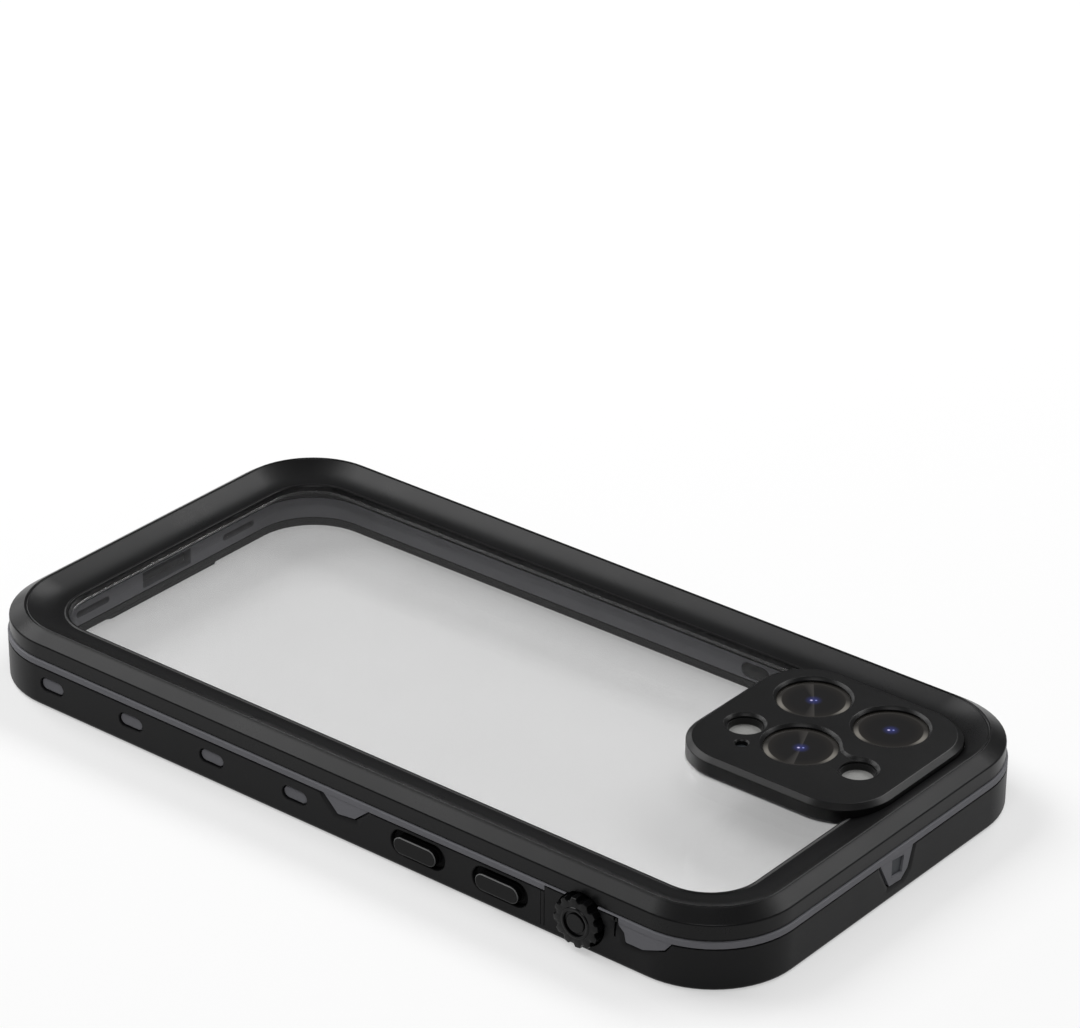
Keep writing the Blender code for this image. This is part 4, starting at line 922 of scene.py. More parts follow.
for wall, along, shape, depth in CHEVRONS:
    loops = [polygon([(x, y, out) for x, y in chevron_outline(shape, depth, NOTCH_GAP + facet)])
             for out, facet in NOTCH_LEVELS]
    openings.append(put(loft("notch", loops), on_wall(wall, along)))
print("openings for pads, controls and chevrons:", len(openings))

# %% [markdown]
# ## Seam grooves, panels and the room of the port cover
#
# Three fine grooves beside the knob mark the edges of its housing. The two panels and the port
# cover need through openings, and the hinge pin a bore from wall to wall.

# %% Cut all the openings
SEAM_GROOVES = ((-0.0071, 0.00007, 0.0012, 0.0002), (-0.0078, 0.00005, 0.0012, 0.00012),
                (0.0065, 0.00016, 0.0049, 0.001))
PORT_HALF = 0.00955
PIN_INSET = 0.001
PIN_HEIGHT = 0.0019
PIN_BORE = 0.0006
PIN_HOLD = 0.0017
BARREL_ROOM = 0.0015
for along, half, low, depth in SEAM_GROOVES:
    outline = rectangle(along - half, along + half, low, SHELL_TOP + OVERRUN)
    openings.append(prism(outline, -depth, OVERRUN, on_wall("volume", KNOB_X)))
for side in (-1, 1):
    openings.append(prism(panel_outline(side, -NOTCH_GAP), -THROUGH, OVERRUN, on_wall("port")))
pocket = PIN_INSET + BARREL_ROOM
port_notch = [(-OVERRUN, OVERRUN), (-OVERRUN, -pocket), (PIN_HEIGHT + BARREL_ROOM, -pocket),
              (PIN_HEIGHT + BARREL_ROOM, -THROUGH), (SHELL_TOP + OVERRUN, -THROUGH),
              (SHELL_TOP + OVERRUN, OVERRUN)]
openings.append(slab(port_notch, PORT_HALF, on_wall("port")))
PIN_FRAME = on_wall("port", 0.0, PIN_HEIGHT) @ Matrix.Translation((0.0, 0.0, -PIN_INSET))
openings.append(slab(arc((0.0, 0.0), PIN_BORE, 0, 337.5, 15), PORT_HALF + PIN_HOLD, PIN_FRAME))
combine(shell, openings)
print("cut", len(openings), "openings")

# %% [markdown]
# ## The lanyard corner
#
# A small slot in the corner beside the port, with an upright post that a lanyard loops round.

# %% Cut the lanyard slot and set its post
LANYARD_SIZE = (0.0042, 0.0034)
LANYARD_ANGLE = math.radians(28)
LANYARD_DEPTH = SHELL_WALL + 0.0003
POST_RADIUS = 0.00055
corner_place = Matrix.Translation((CORNER_RADIUS - HALF_LENGTH, CORNER_RADIUS - HALF_WIDTH, 0.0))
corner_turn = Matrix.Rotation(LANYARD_ANGLE - math.pi / 2, 4, "Z")
corner_wall = Matrix.Translation((0.0, -CORNER_RADIUS, (SHELF_TOP + SHELL_TOP) / 2))
LANYARD_FRAME = corner_place @ corner_turn @ corner_wall @ Matrix.Rotation(math.pi / 2, 4, "X")


def lanyard_cutter(depth, grow=0.0, mouth=0.0):
    half_x, half_y = (side / 2 + grow for side in LANYARD_SIZE)
    levels = ((-depth, 0.0), (-mouth - 0.0001, 0.0), (OVERRUN, mouth + OVERRUN * (mouth > 0)))
    loops = [rounded_box(half_x + out, half_y + out, half_y / 2 + out, (0, 0, height), 6)
             for height, out in levels]
    return put(loft("lanyard_cutter", loops), LANYARD_FRAME)


combine(shell, [lanyard_cutter(LANYARD_DEPTH, 0.0, MOUTH)])
post_frame = LANYARD_FRAME @ Matrix.Translation((0.0, 0.0, -SHELL_WALL / 2))
post_frame = post_frame @ Matrix.Rotation(math.pi / 2, 4, "X")
post_reach = LANYARD_SIZE[1] / 2 + 0.0003
combine(shell, [drum(POST_RADIUS, -post_reach, post_reach, post_frame, 24)], "UNION")
close(shell, shell_black, "case", "front_frame")

# %% [markdown]
# ## The grey liner
#
# The liner is the soft inner frame. Its band shows as the grey line between the two halves, and
# its pads and chevrons fill the slots of the shell. The section is carried round the case, the
# raised fields are joined to it, and the rooms for stems, rings and the port are cut out.

# %% Loft the liner and its pads
BAND_EDGE = 0.00018
LINER_LOW = SHELF_TOP + 0.0003
LINER_STEP = 0.0031
LINER_LEDGE = 0.0066
JOINED_BACK = LINER_INSET + 0.0003
liner_corners = [
    (LINER_INSET, LINER_LOW, 0.0), (LINER_INSET, BAND_LOW, 0.0), (0.0, BAND_LOW, BAND_EDGE),
    (0.0, BAND_TOP, BAND_EDGE), (LINER_STEP, BAND_TOP, 0.0), (LINER_STEP, LINER_LEDGE, 0.0),
    (CAVITY_INSET, LINER_LEDGE, 0.0), (CAVITY_INSET, LINER_LOW, 0.0),
]
liner = loft("grip_liner", case_loops(filleted(liner_corners)), closed=True)

PAD_SUNK = 0.0003
PAD_SOFT = 0.00025
PAD_GAP = 0.00013
length, height = (side - 2 * PAD_GAP for side in PAD_SIZE)
pad_loops = [stadium(length, height, -JOINED_BACK), stadium(length, height, -PAD_SUNK - PAD_SOFT)]
for turn in (30, 60, 90):
    inward = PAD_SOFT * (1 - math.cos(math.radians(turn)))
    out = -PAD_SUNK - PAD_SOFT * (1 - math.sin(math.radians(turn)))
    pad_loops.append(stadium(length - 2 * inward, height - 2 * inward, out))
combine(liner, copies(loft("pad", pad_loops), PAD_PLACES), "UNION")
print("liner with", len(PAD_PLACES), "pads")

# %% [markdown]
# ## The raised chevrons and panels of the liner
#
# The chevron near the camera end runs into the rounded corner, so its face follows the wall.
# A ring of the wall's own shape is cut down to the chevrons, and the result is joined on.

# %% Join the raised fields
FIELD_INSET = 0.0001
FIELD_TOP = BAND_LOW + 0.0001
field_profile = [(FIELD_INSET, LINER_LOW / 2), (FIELD_INSET, FIELD_TOP), (JOINED_BACK, FIELD_TOP),
                 (JOINED_BACK, LINER_LOW / 2)]
for wall, along, shape, depth in CHEVRONS:
    field = loft("chevron_field", case_loops(field_profile), closed=True)
    shape_tool = prism(chevron_outline(shape, depth), -OVERRUN * 4, OVERRUN, on_wall(wall, along))
    combine(field, [shape_tool], "INTERSECT")
    combine(liner, [field], "UNION")
for side in (-1, 1):
    near, low_far, high_far, high_near = panel_outline(side)
    outline = [near, low_far, (high_far[0], FIELD_TOP), (high_near[0], FIELD_TOP)]
    combine(liner, [prism(outline, -JOINED_BACK, -FIELD_INSET, on_wall("port"))], "UNION")
print("liner has", len(liner.data.polygons), "faces with its raised fields")

# %% [markdown]
# ## The rooms of the controls
#
# A button's stem runs through the liner, with a wider room for its ring and a pocket for the
# plunger behind it. The knob's shaft and its fork need the same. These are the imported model's
# rooms, with rounder circles.

# %% Rooms for the stems and the knob
STEM_SIZE = (0.0044, 0.0013)
STEM_PLAY, RING_PLAY, PLUNGER_PLAY = 0.0002, 0.0016, 0.0015
PLUNGER_POCKET = 0.0013
RING_FLOOR = LINER_INSET + 0.001
COVER_FLOOR = LINER_INSET - 0.0001
INSIDE = -CAVITY_INSET - OVERRUN
SHAFT_BORE, SHAFT_RING_ROOM = 0.0012, 0.0019
HOUSING_PLAY = 0.00015
FORK_HALF, FORK_LOW, FORK_HIGH = 0.00192, -0.00245, LINER_LEDGE - KNOB_LEVEL - 0.00015


def grown(size, margin):
    return size[0] + margin, size[1] + margin


def plain_slot(size, low, high, matrix, steps=6):
    return put(loft("room", [stadium(*size, low, steps), stadium(*size, high, steps)]), matrix)


rooms = [housing(HOUSING_PLAY), drum(KNOB_RECESS_RADIUS, -COVER_FLOOR, OVERRUN, knob_place, DRUM_STEPS)]
for name, (wall, along) in BUTTON_PLACES.items():
    place = on_wall(wall, along, BUTTON_LEVEL)
    rooms.append(plain_slot(grown(STEM_SIZE, STEM_PLAY), INSIDE, 0.0, place))
    rooms.append(plain_slot(grown(STEM_SIZE, RING_PLAY), -RING_FLOOR, -SHELL_WALL, place))
    rooms.append(plain_slot(grown(STEM_SIZE, PLUNGER_PLAY), INSIDE, PLUNGER_POCKET - CAVITY_INSET, place))
bore_loops = [circle(SHAFT_BORE, -CAVITY_INSET), circle(SHAFT_BORE, -RING_FLOOR),
              circle(SHAFT_RING_ROOM, -RING_FLOOR), circle(SHAFT_RING_ROOM, 0.0)]
rooms.append(put(loft("knob_bore", bore_loops), knob_place))
fork_outline = rectangle(-FORK_HALF, FORK_HALF, FORK_LOW, FORK_HIGH)
rooms.append(prism(fork_outline, INSIDE, PLUNGER_POCKET - CAVITY_INSET, knob_place))
print("rooms for the controls:", len(rooms))

# %% [markdown]
# ## The rooms of the port, the membranes and the lanyard
#
# The port hole goes right through, and the cover with its barrel lies in a shallow bed. Each
# panel is sunk within its border to take a membrane, with a sound slot behind it.

# %% Rooms for the port and the membranes
PORT_HOLE = (0.012, 0.00305)
half_hole = PORT_HOLE[1] / 2
PANEL_BORDER = 0.0008
POCKET_DEPTH = FIELD_INSET + 0.0009
SOUND_SLOT = (0.008, 0.0012)
SOUND_BORE = 0.0006
TOP_MEMBRANE = ((-0.0006, 0.92), (-0.0006, 0.3), (0.0022, 0.25), (0.0027, 0.84))
hole_place = on_wall("port", 0.0, ROOM_MIDDLE)
rooms.append(slab(rectangle(-half_hole, half_hole, 0.0, INSIDE), PORT_HOLE[0] / 2, hole_place))
cover_bed = [(SHELL_TOP - OVERRUN, OVERRUN), (SHELL_TOP - OVERRUN, -COVER_FLOOR),
             (BAND_TOP + OVERRUN, -COVER_FLOOR), (BAND_TOP + OVERRUN, OVERRUN)]
rooms.append(slab(cover_bed, PORT_HALF, on_wall("port")))
rooms.append(slab(arc((0.0, 0.0), BARREL_ROOM, 0, 345, 23), PORT_HALF, PIN_FRAME))
for side in (-1, 1):
    rooms.append(prism(panel_outline(side, PANEL_BORDER), -POCKET_DEPTH, OVERRUN, on_wall("port")))
    sound_place = on_wall("port", side * (PANEL_NEAR + PANEL_FAR) / 2, ROOM_MIDDLE)
    rooms.append(plain_slot(SOUND_SLOT, INSIDE, -SHELL_WALL / 3, sound_place))
foot = BAND_LOW - TOP_CHEVRON_DEPTH
membrane_outline = [(along, foot + share * TOP_CHEVRON_DEPTH) for along, share in TOP_MEMBRANE]
rooms.append(prism(membrane_outline, -POCKET_DEPTH, OVERRUN, on_wall("top")))
sound_place = on_wall("top", (TOP_MEMBRANE[0][0] + TOP_MEMBRANE[-1][0]) / 2, ROOM_MIDDLE)
rooms.append(drum(SOUND_BORE, INSIDE, -SHELL_WALL / 3, sound_place, 24))
rooms.append(lanyard_cutter(0.0026, 0.00015))
combine(liner, rooms)
close(liner, band_grey, "case", "soft_liner")

# %% [markdown]
# ## The membranes of the panels and of the camera end
#
# A membrane is a flat piece of mesh that just fills its pocket, so each is a thin prism over the
# pocket's own outline.

# %% Lay the membranes
MEMBRANE_FRONT = -0.0005
MEMBRANE_BACK = -0.0009
MEMBRANE_GAP = 0.0001
side_outlines = {node: panel_outline(side, PANEL_BORDER + MEMBRANE_GAP) for node, side in
                 (("speaker_membrane_left", 1), ("speaker_membrane_right", -1))}
for node, outline in {**side_outlines, "top_membrane": membrane_outline}.items():
    wall = "port" if node in side_outlines else "top"
    sheet = prism(outline, MEMBRANE_BACK, MEMBRANE_FRONT, on_wall(wall))
    sheet.name = "mesh_" + node
    close(sheet, membrane_grey, "case", node)

# %% [markdown]
# ## The film and its gasket
#
# The front is closed by a thin clear film, glued to the shelf over a black border. Both leave
# room for the tab of the rim and for the slot in front of the earpiece, which has a membrane.

# %% Lay the film, the gasket and the earpiece's membrane
FILM_EDGE = RIM_WIDTH + 0.00015
FILM_LOW, FILM_HIGH = 0.0007, 0.00105
GASKET_LOW, GASKET_HIGH = 0.00115, 0.0015
EAR_SLOT = (0.0012, 0.024)
TAB_ROOM = 0.00015
tab_room_outline = []
for x, y in tab_outline:
    away = -TAB_ROOM if x < -TAB_TIP - TAB_ROOM else TAB_ROOM
    tab_room_outline.append((x + away, y + math.copysign(TAB_ROOM, y)))
ear_place = Matrix.Translation((middle("earpiece_membrane").x, 0.0, 0.0))


def ear_slot(name, low, high, shrink=0.0):
    half_x, half_y = (side / 2 - shrink for side in EAR_SLOT)
    radius = half_x * END_ROUND * 2
    loops = [rounded_box(half_x, half_y, radius, (0, 0, height), 8) for height in (low, high)]
    return put(loft(name, loops), ear_place)


film = loft("clear_front_film", case_loops([(FILM_EDGE, FILM_LOW), (FILM_EDGE, FILM_HIGH)]))
gasket_ring = [(FILM_EDGE, GASKET_LOW), (FILM_EDGE, GASKET_HIGH), (CAVITY_INSET, GASKET_HIGH),
               (CAVITY_INSET, GASKET_LOW)]
gasket = loft("black_film_border", case_loops(gasket_ring), closed=True)
for sheet in (film, gasket):
    tab_room = prism(tab_room_outline, -OVERRUN, SHELF_LOW)
    combine(sheet, [tab_room, ear_slot("ear_cutter", 0.0, SHELF_LOW)])
close(film, film_clear, "case", "screen_film")
close(gasket, seal_black, "case", "screen_gasket")
ear_mesh = ear_slot("mesh_earpiece", GASKET_LOW, GASKET_HIGH, 0.0001)
close(ear_mesh, membrane_grey, "case", "earpiece_membrane")

# %% [markdown]
# ## The rear bezel
#
# The bezel is the most shaped piece: wall, bevel, crest with a fine crease, a hollow dish that
# falls to the window, a small bead and the lip. All of it is one profile carried round the case.

# %% Loft the rear bezel
REAR_INSET = 0.0003
REAR_LOW = 0.00885
REAR_WALL_TOP = 0.0114
BEVEL_INSET = 0.0024
BEVEL_TOP = 0.0128
DISH_STEPS = 14
DISH_START = (0.0031, 0.01285)
DISH_WIDTH = 0.0054
DISH_FALL = 0.00185
DISH_POWER = 1.6
TONGUE_LOW = 0.0069
TONGUE_INSET = 0.0034
TONGUE_EDGE = 0.0002
LIP_INSET = 0.0092
LIP_LOW = 0.00995
SEAL_INSET, SEAL_LOW, SEAL_HIGH = 0.00435, 0.0072, 0.0084
outer_side = [(REAR_INSET, REAR_LOW, 0.0001), (REAR_INSET, REAR_WALL_TOP, 0.0004),
              (BEVEL_INSET, BEVEL_TOP, 0.0003), (0.0026, 0.01295, 0.00008),
              (0.0028, 0.01295, 0.00008), (0.00295, 0.01275, 0.00006), (*DISH_START, 0.0)]
bead = [(0.00863, 0.0111), (0.00873, 0.01114), (0.00885, 0.01116), (0.00897, 0.01114), (0.0091, 0.01102)]
inner_side = [(LIP_INSET, 0.01085), (LIP_INSET, LIP_LOW), (CAVITY_INSET, LIP_LOW),
              (CAVITY_INSET, TONGUE_LOW), (TONGUE_INSET + TONGUE_EDGE, TONGUE_LOW),
              (TONGUE_INSET, TONGUE_LOW + TONGUE_EDGE), (TONGUE_INSET, SEAL_LOW),
              (SEAL_INSET, SEAL_LOW), (SEAL_INSET, SEAL_HIGH), (TONGUE_INSET, SEAL_HIGH),
              (TONGUE_INSET, REAR_LOW)]
bezel_profile = filleted([*outer_side, (0.004, 0.0, 0.0)])[:-1]
for step in range(1, DISH_STEPS + 1):
    share = step / DISH_STEPS
    fall = DISH_FALL * (1 - (1 - share) ** DISH_POWER)
    bezel_profile.append((DISH_START[0] + share * DISH_WIDTH, DISH_START[1] - fall))
bezel = loft("rear_bezel", case_loops(bezel_profile + bead + inner_side), closed=True)
print("bezel with", len(bezel.data.polygons), "faces")

# %% [markdown]
# ## The rooms in the bezel
#
# The camera cover passes through the bezel's dish, the knob's round room arches into its wall,
# and one corner has a slot in which a coin parts the two halves.

# %% Cut the camera room, the knob's arch and the coin slot
CAMERA_SIZE = (0.0376, 0.036)
CAMERA_CORNER = 0.0095
CAMERA_TOP = 0.013
CAMERA_MIDDLE = middle("camera_plate")
CAMERA_PLAY = 0.00015
WINDOW_LOW = 0.0091
COIN_DEPTH, COIN_HEIGHT, COIN_SPAN = 0.0014, 0.0008, 0.0125


def camera_loop(inset, height):
    half_x, half_y = (side / 2 - inset for side in CAMERA_SIZE)
    return rounded_box(half_x, half_y, CAMERA_CORNER - inset, (CAMERA_MIDDLE.x, CAMERA_MIDDLE.y, height))


def camera_block(name, inset, low, high):
    return loft(name, [camera_loop(inset, height) for height in (low, high)])


camera_room = camera_block("camera_room", -CAMERA_PLAY, WINDOW_LOW, CAMERA_TOP + OVERRUN)
arch = drum(KNOB_RECESS_RADIUS, -SHELL_WALL, OVERRUN, knob_place, DRUM_STEPS)
slot_profile = [(-OVERRUN, REAR_LOW - OVERRUN), (-OVERRUN, REAR_LOW + COIN_HEIGHT),
                (COIN_DEPTH, REAR_LOW + COIN_HEIGHT), (COIN_DEPTH, REAR_LOW - OVERRUN)]
coin_slot = loft("coin_slot", case_loops(slot_profile), closed=True)
span_x = OVERRUN + COIN_SPAN / 2 - 2 * OVERRUN - HALF_LENGTH
span_y = HALF_WIDTH - COIN_SPAN / 2 + OVERRUN
span_loops = [rounded_box(COIN_SPAN / 2, COIN_SPAN / 2, COIN_SPAN / 8, (span_x, span_y, height), 4)
              for height in (REAR_LOW / 2, REAR_LOW * 2)]
combine(coin_slot, [loft("coin_span", span_loops)], "INTERSECT")
combine(bezel, [camera_room, arch, coin_slot])
close(bezel, bezel_black, "rear_cover", "rear_frame")

# %% [markdown]
# ## The clear back
#
# A clear sheet whose flange is held under the bezel's lip. Its thicker middle fills the opening,
# and under the camera cover it is open and seats the cover's foot.

# %% Loft the clear back
FLANGE_TOP = 0.0097
WINDOW_TOP = 0.0103
BACK_INSET = CAVITY_INSET + 0.0003
PANEL_INSET = LIP_INSET + 0.00025
CAMERA_WALL = 0.0014
back_profile = [(BACK_INSET, WINDOW_LOW), (BACK_INSET, FLANGE_TOP), (PANEL_INSET, FLANGE_TOP),
                (PANEL_INSET, WINDOW_TOP - 0.00015), (PANEL_INSET + 0.00005, WINDOW_TOP - 0.00005),
                (PANEL_INSET + 0.00015, WINDOW_TOP)]
back = loft("clear_back", case_loops(back_profile))
bump_opening = camera_block("bump_opening", CAMERA_WALL + 0.00015, ROOM_MIDDLE, CAMERA_TOP)
seat = camera_block("seat", -CAMERA_PLAY, FLANGE_TOP - 0.00005, CAMERA_TOP)
combine(back, [bump_opening, seat])
close(back, back_clear, "rear_cover", "rear_window")

# %% [markdown]
# ## The camera cover
#
# A raised plate with a soft chamfer all round, hollow below, with a bevelled mouth over each
# window. The mouth is one turned cutter: a wide seat below for the glass, the throat, and the
# bevel that widens to the plate's face.

# %% Loft the camera cover and cut its mouths
CAMERA_LOW = FLANGE_TOP + 0.0001
CEILING = 0.0115
EDGE = 0.001
EDGE_FALL = 0.00067
cover_profile = filleted([(CAMERA_WALL, CEILING, 0.0), (CAMERA_WALL, CAMERA_LOW, 0.0),
                          (0.0, CAMERA_LOW, 0.0001), (0.0, CAMERA_TOP - EDGE_FALL, 0.00015),
                          (EDGE, CAMERA_TOP, 0.0004), (CAMERA_WALL * 2, CAMERA_TOP, 0.0)])[:-1]
cover = loft("camera_cover", [camera_loop(inset, height) for inset, height in cover_profile])
GLASS = 0.0006
LENS_RIM = 0.00045
SMALL_GAP = 0.0001
LENS_STEPS = 64
WINDOWS = {("lens_window_main", "lens_window_wide", "lens_window_tele"): (0.0131, 0.0008),
           ("flash_window",): (0.007, 0.00035), ("sensor_window",): (0.0068, 0.00035)}


def flat_place(node):
    return Matrix.Translation((middle(node).x, middle(node).y, 0.0))


def turned(name, steps, *rings):
    """A turned shape about an upright axis, from pairs of radius and height."""
    return loft(name, [circle(radius, height, steps) for radius, height in rings])


for nodes, (diameter, ledge) in WINDOWS.items():
    throat = diameter / 2 - LENS_RIM
    seat_top = CEILING + GLASS + 2 * SMALL_GAP
    mouth = turned("mouth", LENS_STEPS, (throat + ledge, CEILING - OVERRUN / 2), (throat + ledge, seat_top),
                   (throat, seat_top), (throat, CAMERA_TOP - LENS_RIM),
                   (diameter / 2 - 0.00004, CAMERA_TOP - 0.00006),
                   (diameter / 2 + 0.0001, CAMERA_TOP + 0.00002))
    combine(cover, copies(mouth, [flat_place(node) for node in nodes]))
print("camera cover with", len(cover.data.polygons), "faces")

# %% [markdown]
# ## The shared recess and the microphone's mouth
#
# The mouths of one lens and of the sensor lie so close that they share a shallow recess. Its
# outline is two circles that run into each other through two hollow curves.

# %% Cut the shared recess and the microphone's mouth
RECESS_FLOOR = CAMERA_TOP - 0.0004
RECESS_LEVELS = ((0.0004, RECESS_FLOOR), (0.00003, CAMERA_TOP - 0.00004), (-0.00006, CAMERA_TOP + 0.00002))
TELE_RECESS, SENSOR_RECESS, RECESS_WAIST = 0.00658, 0.00346, 0.0032
MICROPHONE_SEAT = CEILING + 0.0004 + 2 * SMALL_GAP


def joined_outline(first, first_radius, second, second_radius, waist):
    reach = second - first
    span = reach.length
    near, far = first_radius + waist, second_radius + waist
    along = (span * span + near * near - far * far) / (2 * span)
    aside = math.sqrt(near * near - along * along)
    turn = math.degrees(math.atan2(reach.y, reach.x))
    open_first = math.degrees(math.atan2(aside, along))
    open_second = math.degrees(math.atan2(aside, span - along))
    turning = Matrix.Rotation(math.radians(turn), 2)
    waists = [first + turning @ Vector((along, side * aside)) for side in (1, -1)]
    points = arc(first, first_radius, turn + open_first, turn + 360 - open_first, 40)
    points += arc(waists[1], waist, turn + 180 - open_first, turn + open_second, 12)[1:-1]
    points += arc(second, second_radius, turn + open_second - 180, turn + 180 - open_second, 24)
    points += arc(waists[0], waist, turn - open_second, turn - 180 + open_first, 12)[1:-1]
    return points


tele_place, sensor_place = (middle(node).to_2d() for node in ("lens_window_tele", "sensor_window"))
recess_loops = []
for shrink, height in RECESS_LEVELS:
    outline = joined_outline(tele_place, TELE_RECESS - shrink, sensor_place, SENSOR_RECESS - shrink,
                             RECESS_WAIST + shrink)
    recess_loops.append(polygon([(x, y, height) for x, y in outline]))
combine(cover, [loft("shared_recess", recess_loops)])
mouth = turned("microphone_mouth", 32, (0.0017, CEILING - OVERRUN / 2), (0.0017, MICROPHONE_SEAT),
               (0.001, MICROPHONE_SEAT), (0.001, CAMERA_TOP - 0.00028), (0.00122, CAMERA_TOP - 0.00004),
               (0.00132, CAMERA_TOP + 0.00002))
combine(cover, [put(mouth, flat_place("microphone_membrane"))])
close(cover, plate_black, "rear_cover", "camera_plate")

# %% [markdown]
# ## The round windows
#
# Discs of coated glass are glued up into the seats of the plate. The lens windows are very
# slightly raised in the middle, and the two small ones are the cups with the frosted floor.

# %% Make the windows
GLASS_EDGE = 0.0001
GLASS_BEVEL = 0.0005
GLASS_RISE = 0.0001
GLASS_PLAY = 0.00015
CUP_FLOOR = 0.0112
CUP_WALL = 0.00025
WEDGE_LINES = {"lens_window_main": 126.6, "lens_window_tele": 113.0}
for nodes, (diameter, ledge) in WINDOWS.items():
    throat = diameter / 2 - LENS_RIM
    radius = throat + ledge - GLASS_PLAY
    low = CEILING + SMALL_GAP
    top = low + GLASS
    seat_rings = [(radius, low), (radius, top - GLASS_EDGE), (radius - GLASS_EDGE, top)]
    bevel_start = throat - CUP_WALL
    rings = [(throat, CUP_FLOOR - CUP_WALL), (throat, low), *seat_rings, (bevel_start, top),
             (throat - CUP_WALL * 1.4, CUP_FLOOR)]
    if "lens_window_main" in nodes:
        rings = [*seat_rings, (throat - GLASS_EDGE, top), (bevel_start, top),
                 (bevel_start - GLASS_BEVEL, top + GLASS_RISE)]
    panes = copies(turned("pane", LENS_STEPS, *rings), [flat_place(node) for node in nodes])
    for node, pane in zip(nodes, panes):
        pane.name = "glass_" + node
        if "lens" in node:
            # lens windows get dark glass with painted highlights, glints and reflections
            finish = lens_glass_with_painted_light("coated_" + node, middle(node), diameter / 2, WEDGE_LINES.get(node))
        else:
            finish = light_cup("cup_" + node, middle(node), throat - CUP_WALL * 1.5)
        close(pane, finish, "rear_cover", node)

# %% [markdown]
# ## The microphone's membrane
#
# A small disc of the same mesh as the other membranes, in its seat under the plate.

# %% Lay the microphone's membrane
low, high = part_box("microphone_membrane")
mesh_radius = (high.x - low.x) / 2
mesh_disc = turned("mesh_microphone", 32, (mesh_radius, low.z), (mesh_radius, high.z))
mesh_disc = put(mesh_disc, flat_place("microphone_membrane"))
close(mesh_disc, membrane_grey, "rear_cover", "microphone_membrane")

# %% [markdown]
# ## A finish with a painted highlight on the edges
#
# The buttons are black plastic with a painted highlight: a lighter line on the round of the face,
# where light from above catches it. A button's face looks along Y, so the painted line is a
# band of Y, stronger above the middle.
# The part inside the recess is dull.

# %% Make the finish of the buttons
BUTTON_PROUD = 0.0009
BUTTON_ROUND = 0.00035
# the black of the buttons and the colour of their painted highlight
BUTTON_BLACK, BUTTON_PAINTED_HIGHLIGHT = (0.0026, 0.0026, 0.0028), (0.2, 0.2, 0.2)


def black_with_painted_highlight(name, edge, width):
    finish = Finish(name)
    handling = finish.noise(HANDLING_SIZE / 4, 3.0)
    aside = finish.node("SeparateXYZ", None, finish.place, output="Y")
    up = finish.node("SeparateXYZ", None, finish.place, output="Z")
    reach = aside.maths("ABSOLUTE", aside)
    band = reach.above(edge - width, width / 2) * (1.0 - reach.above(edge + width, width / 2))
    # painted highlight: a lighter band on the round of the face, mostly above the middle
    painted_highlight = band * (0.2 + up.above(BUTTON_LEVEL, BUTTON_HEIGHT / 3) * 0.8)
    sunk = 1.0 - reach.above(HALF_WIDTH - 0.0002, 0.0001)
    finish.paint(Base_Color=finish.mix(painted_highlight, BUTTON_BLACK, BUTTON_PAINTED_HIGHLIGHT),
                 Roughness=0.22 + (handling - 0.5) * 0.1 + sunk * 0.6, Specular_IOR_Level=0.14)
    return finish.material


# where the painted highlight lies, on the round of the face
highlight_place = HALF_WIDTH + BUTTON_PROUD - BUTTON_ROUND * 0.3
button_black = black_with_painted_highlight("button_black", highlight_place, BUTTON_ROUND * 0.16)
print("worn line at", round(1000 * highlight_place, 3), "mm from the middle of the case")

# %% [markdown]
# ## The push buttons
#
# Each button is a lozenge with a round edge, on a flange that keeps it in, with its stem behind.

# %% Make the buttons
FLANGE_ROOM = 0.0004
FLANGE_LOW, FLANGE_HIGH = -0.0011, -0.0008
STEM_END = CAVITY_INSET - PLUNGER_POCKET + 0.0001
for name, (wall, along) in BUTTON_PLACES.items():
    face = (BUTTON_SIZES[name], BUTTON_HEIGHT)
    flange = (face[0] + RECESS_ALONG - FLANGE_ROOM, face[1] + RECESS_UP - FLANGE_ROOM)
    loops = [stadium(*STEM_SIZE, -STEM_END), stadium(*STEM_SIZE, FLANGE_LOW), stadium(*flange, FLANGE_LOW),
             stadium(*flange, FLANGE_HIGH), stadium(*face, FLANGE_HIGH)]
    for turn in (0, 18, 36, 54, 72, 90):
        inward = BUTTON_ROUND * (1 - math.cos(math.radians(turn)))
        up = BUTTON_PROUD - BUTTON_ROUND * (1 - math.sin(math.radians(turn)))
        loops.append(stadium(*grown(face, -2 * inward), up))
    button = put(loft("button_" + name, loops), on_wall(wall, along, BUTTON_LEVEL))
    close(button, button_black, name, name + "_button")

# %% [markdown]
# ## The mute knob
#
# A dial with twelve round scallops, a raised ring on its face and a small disc inside the ring.
# It is one loft, from the thin shaft over the toothed edge to the middle of the face.

# %% Make the knob
KNOB_TEETH = 12
KNOB_TIP = 0.0043
KNOB_ROOT = 0.0037
KNOB_PROUD = 0.0016
KNOB_SUNK = 0.0012
KNOB_EDGE = 0.00025
KNOB_FACE = KNOB_PROUD - 0.0002
SHAFT_RADIUS, SHAFT_LENGTH = 0.0011, 0.0055
TOOTH_STEPS = 10
TOOTH_SHARE = 0.42
KNOB_COUNT = KNOB_TEETH * TOOTH_STEPS
FACE_RINGS = ((0.0027, 0.0), (0.00262, 0.00015), (0.0025, 0.0002), (0.0023, 0.0002),
              (0.00218, 0.00015), (0.0021, -0.0002), (0.0017, -0.0002), (0.00165, 0.00002),
              (0.00155, 0.0001), (0.0013, 0.00012))


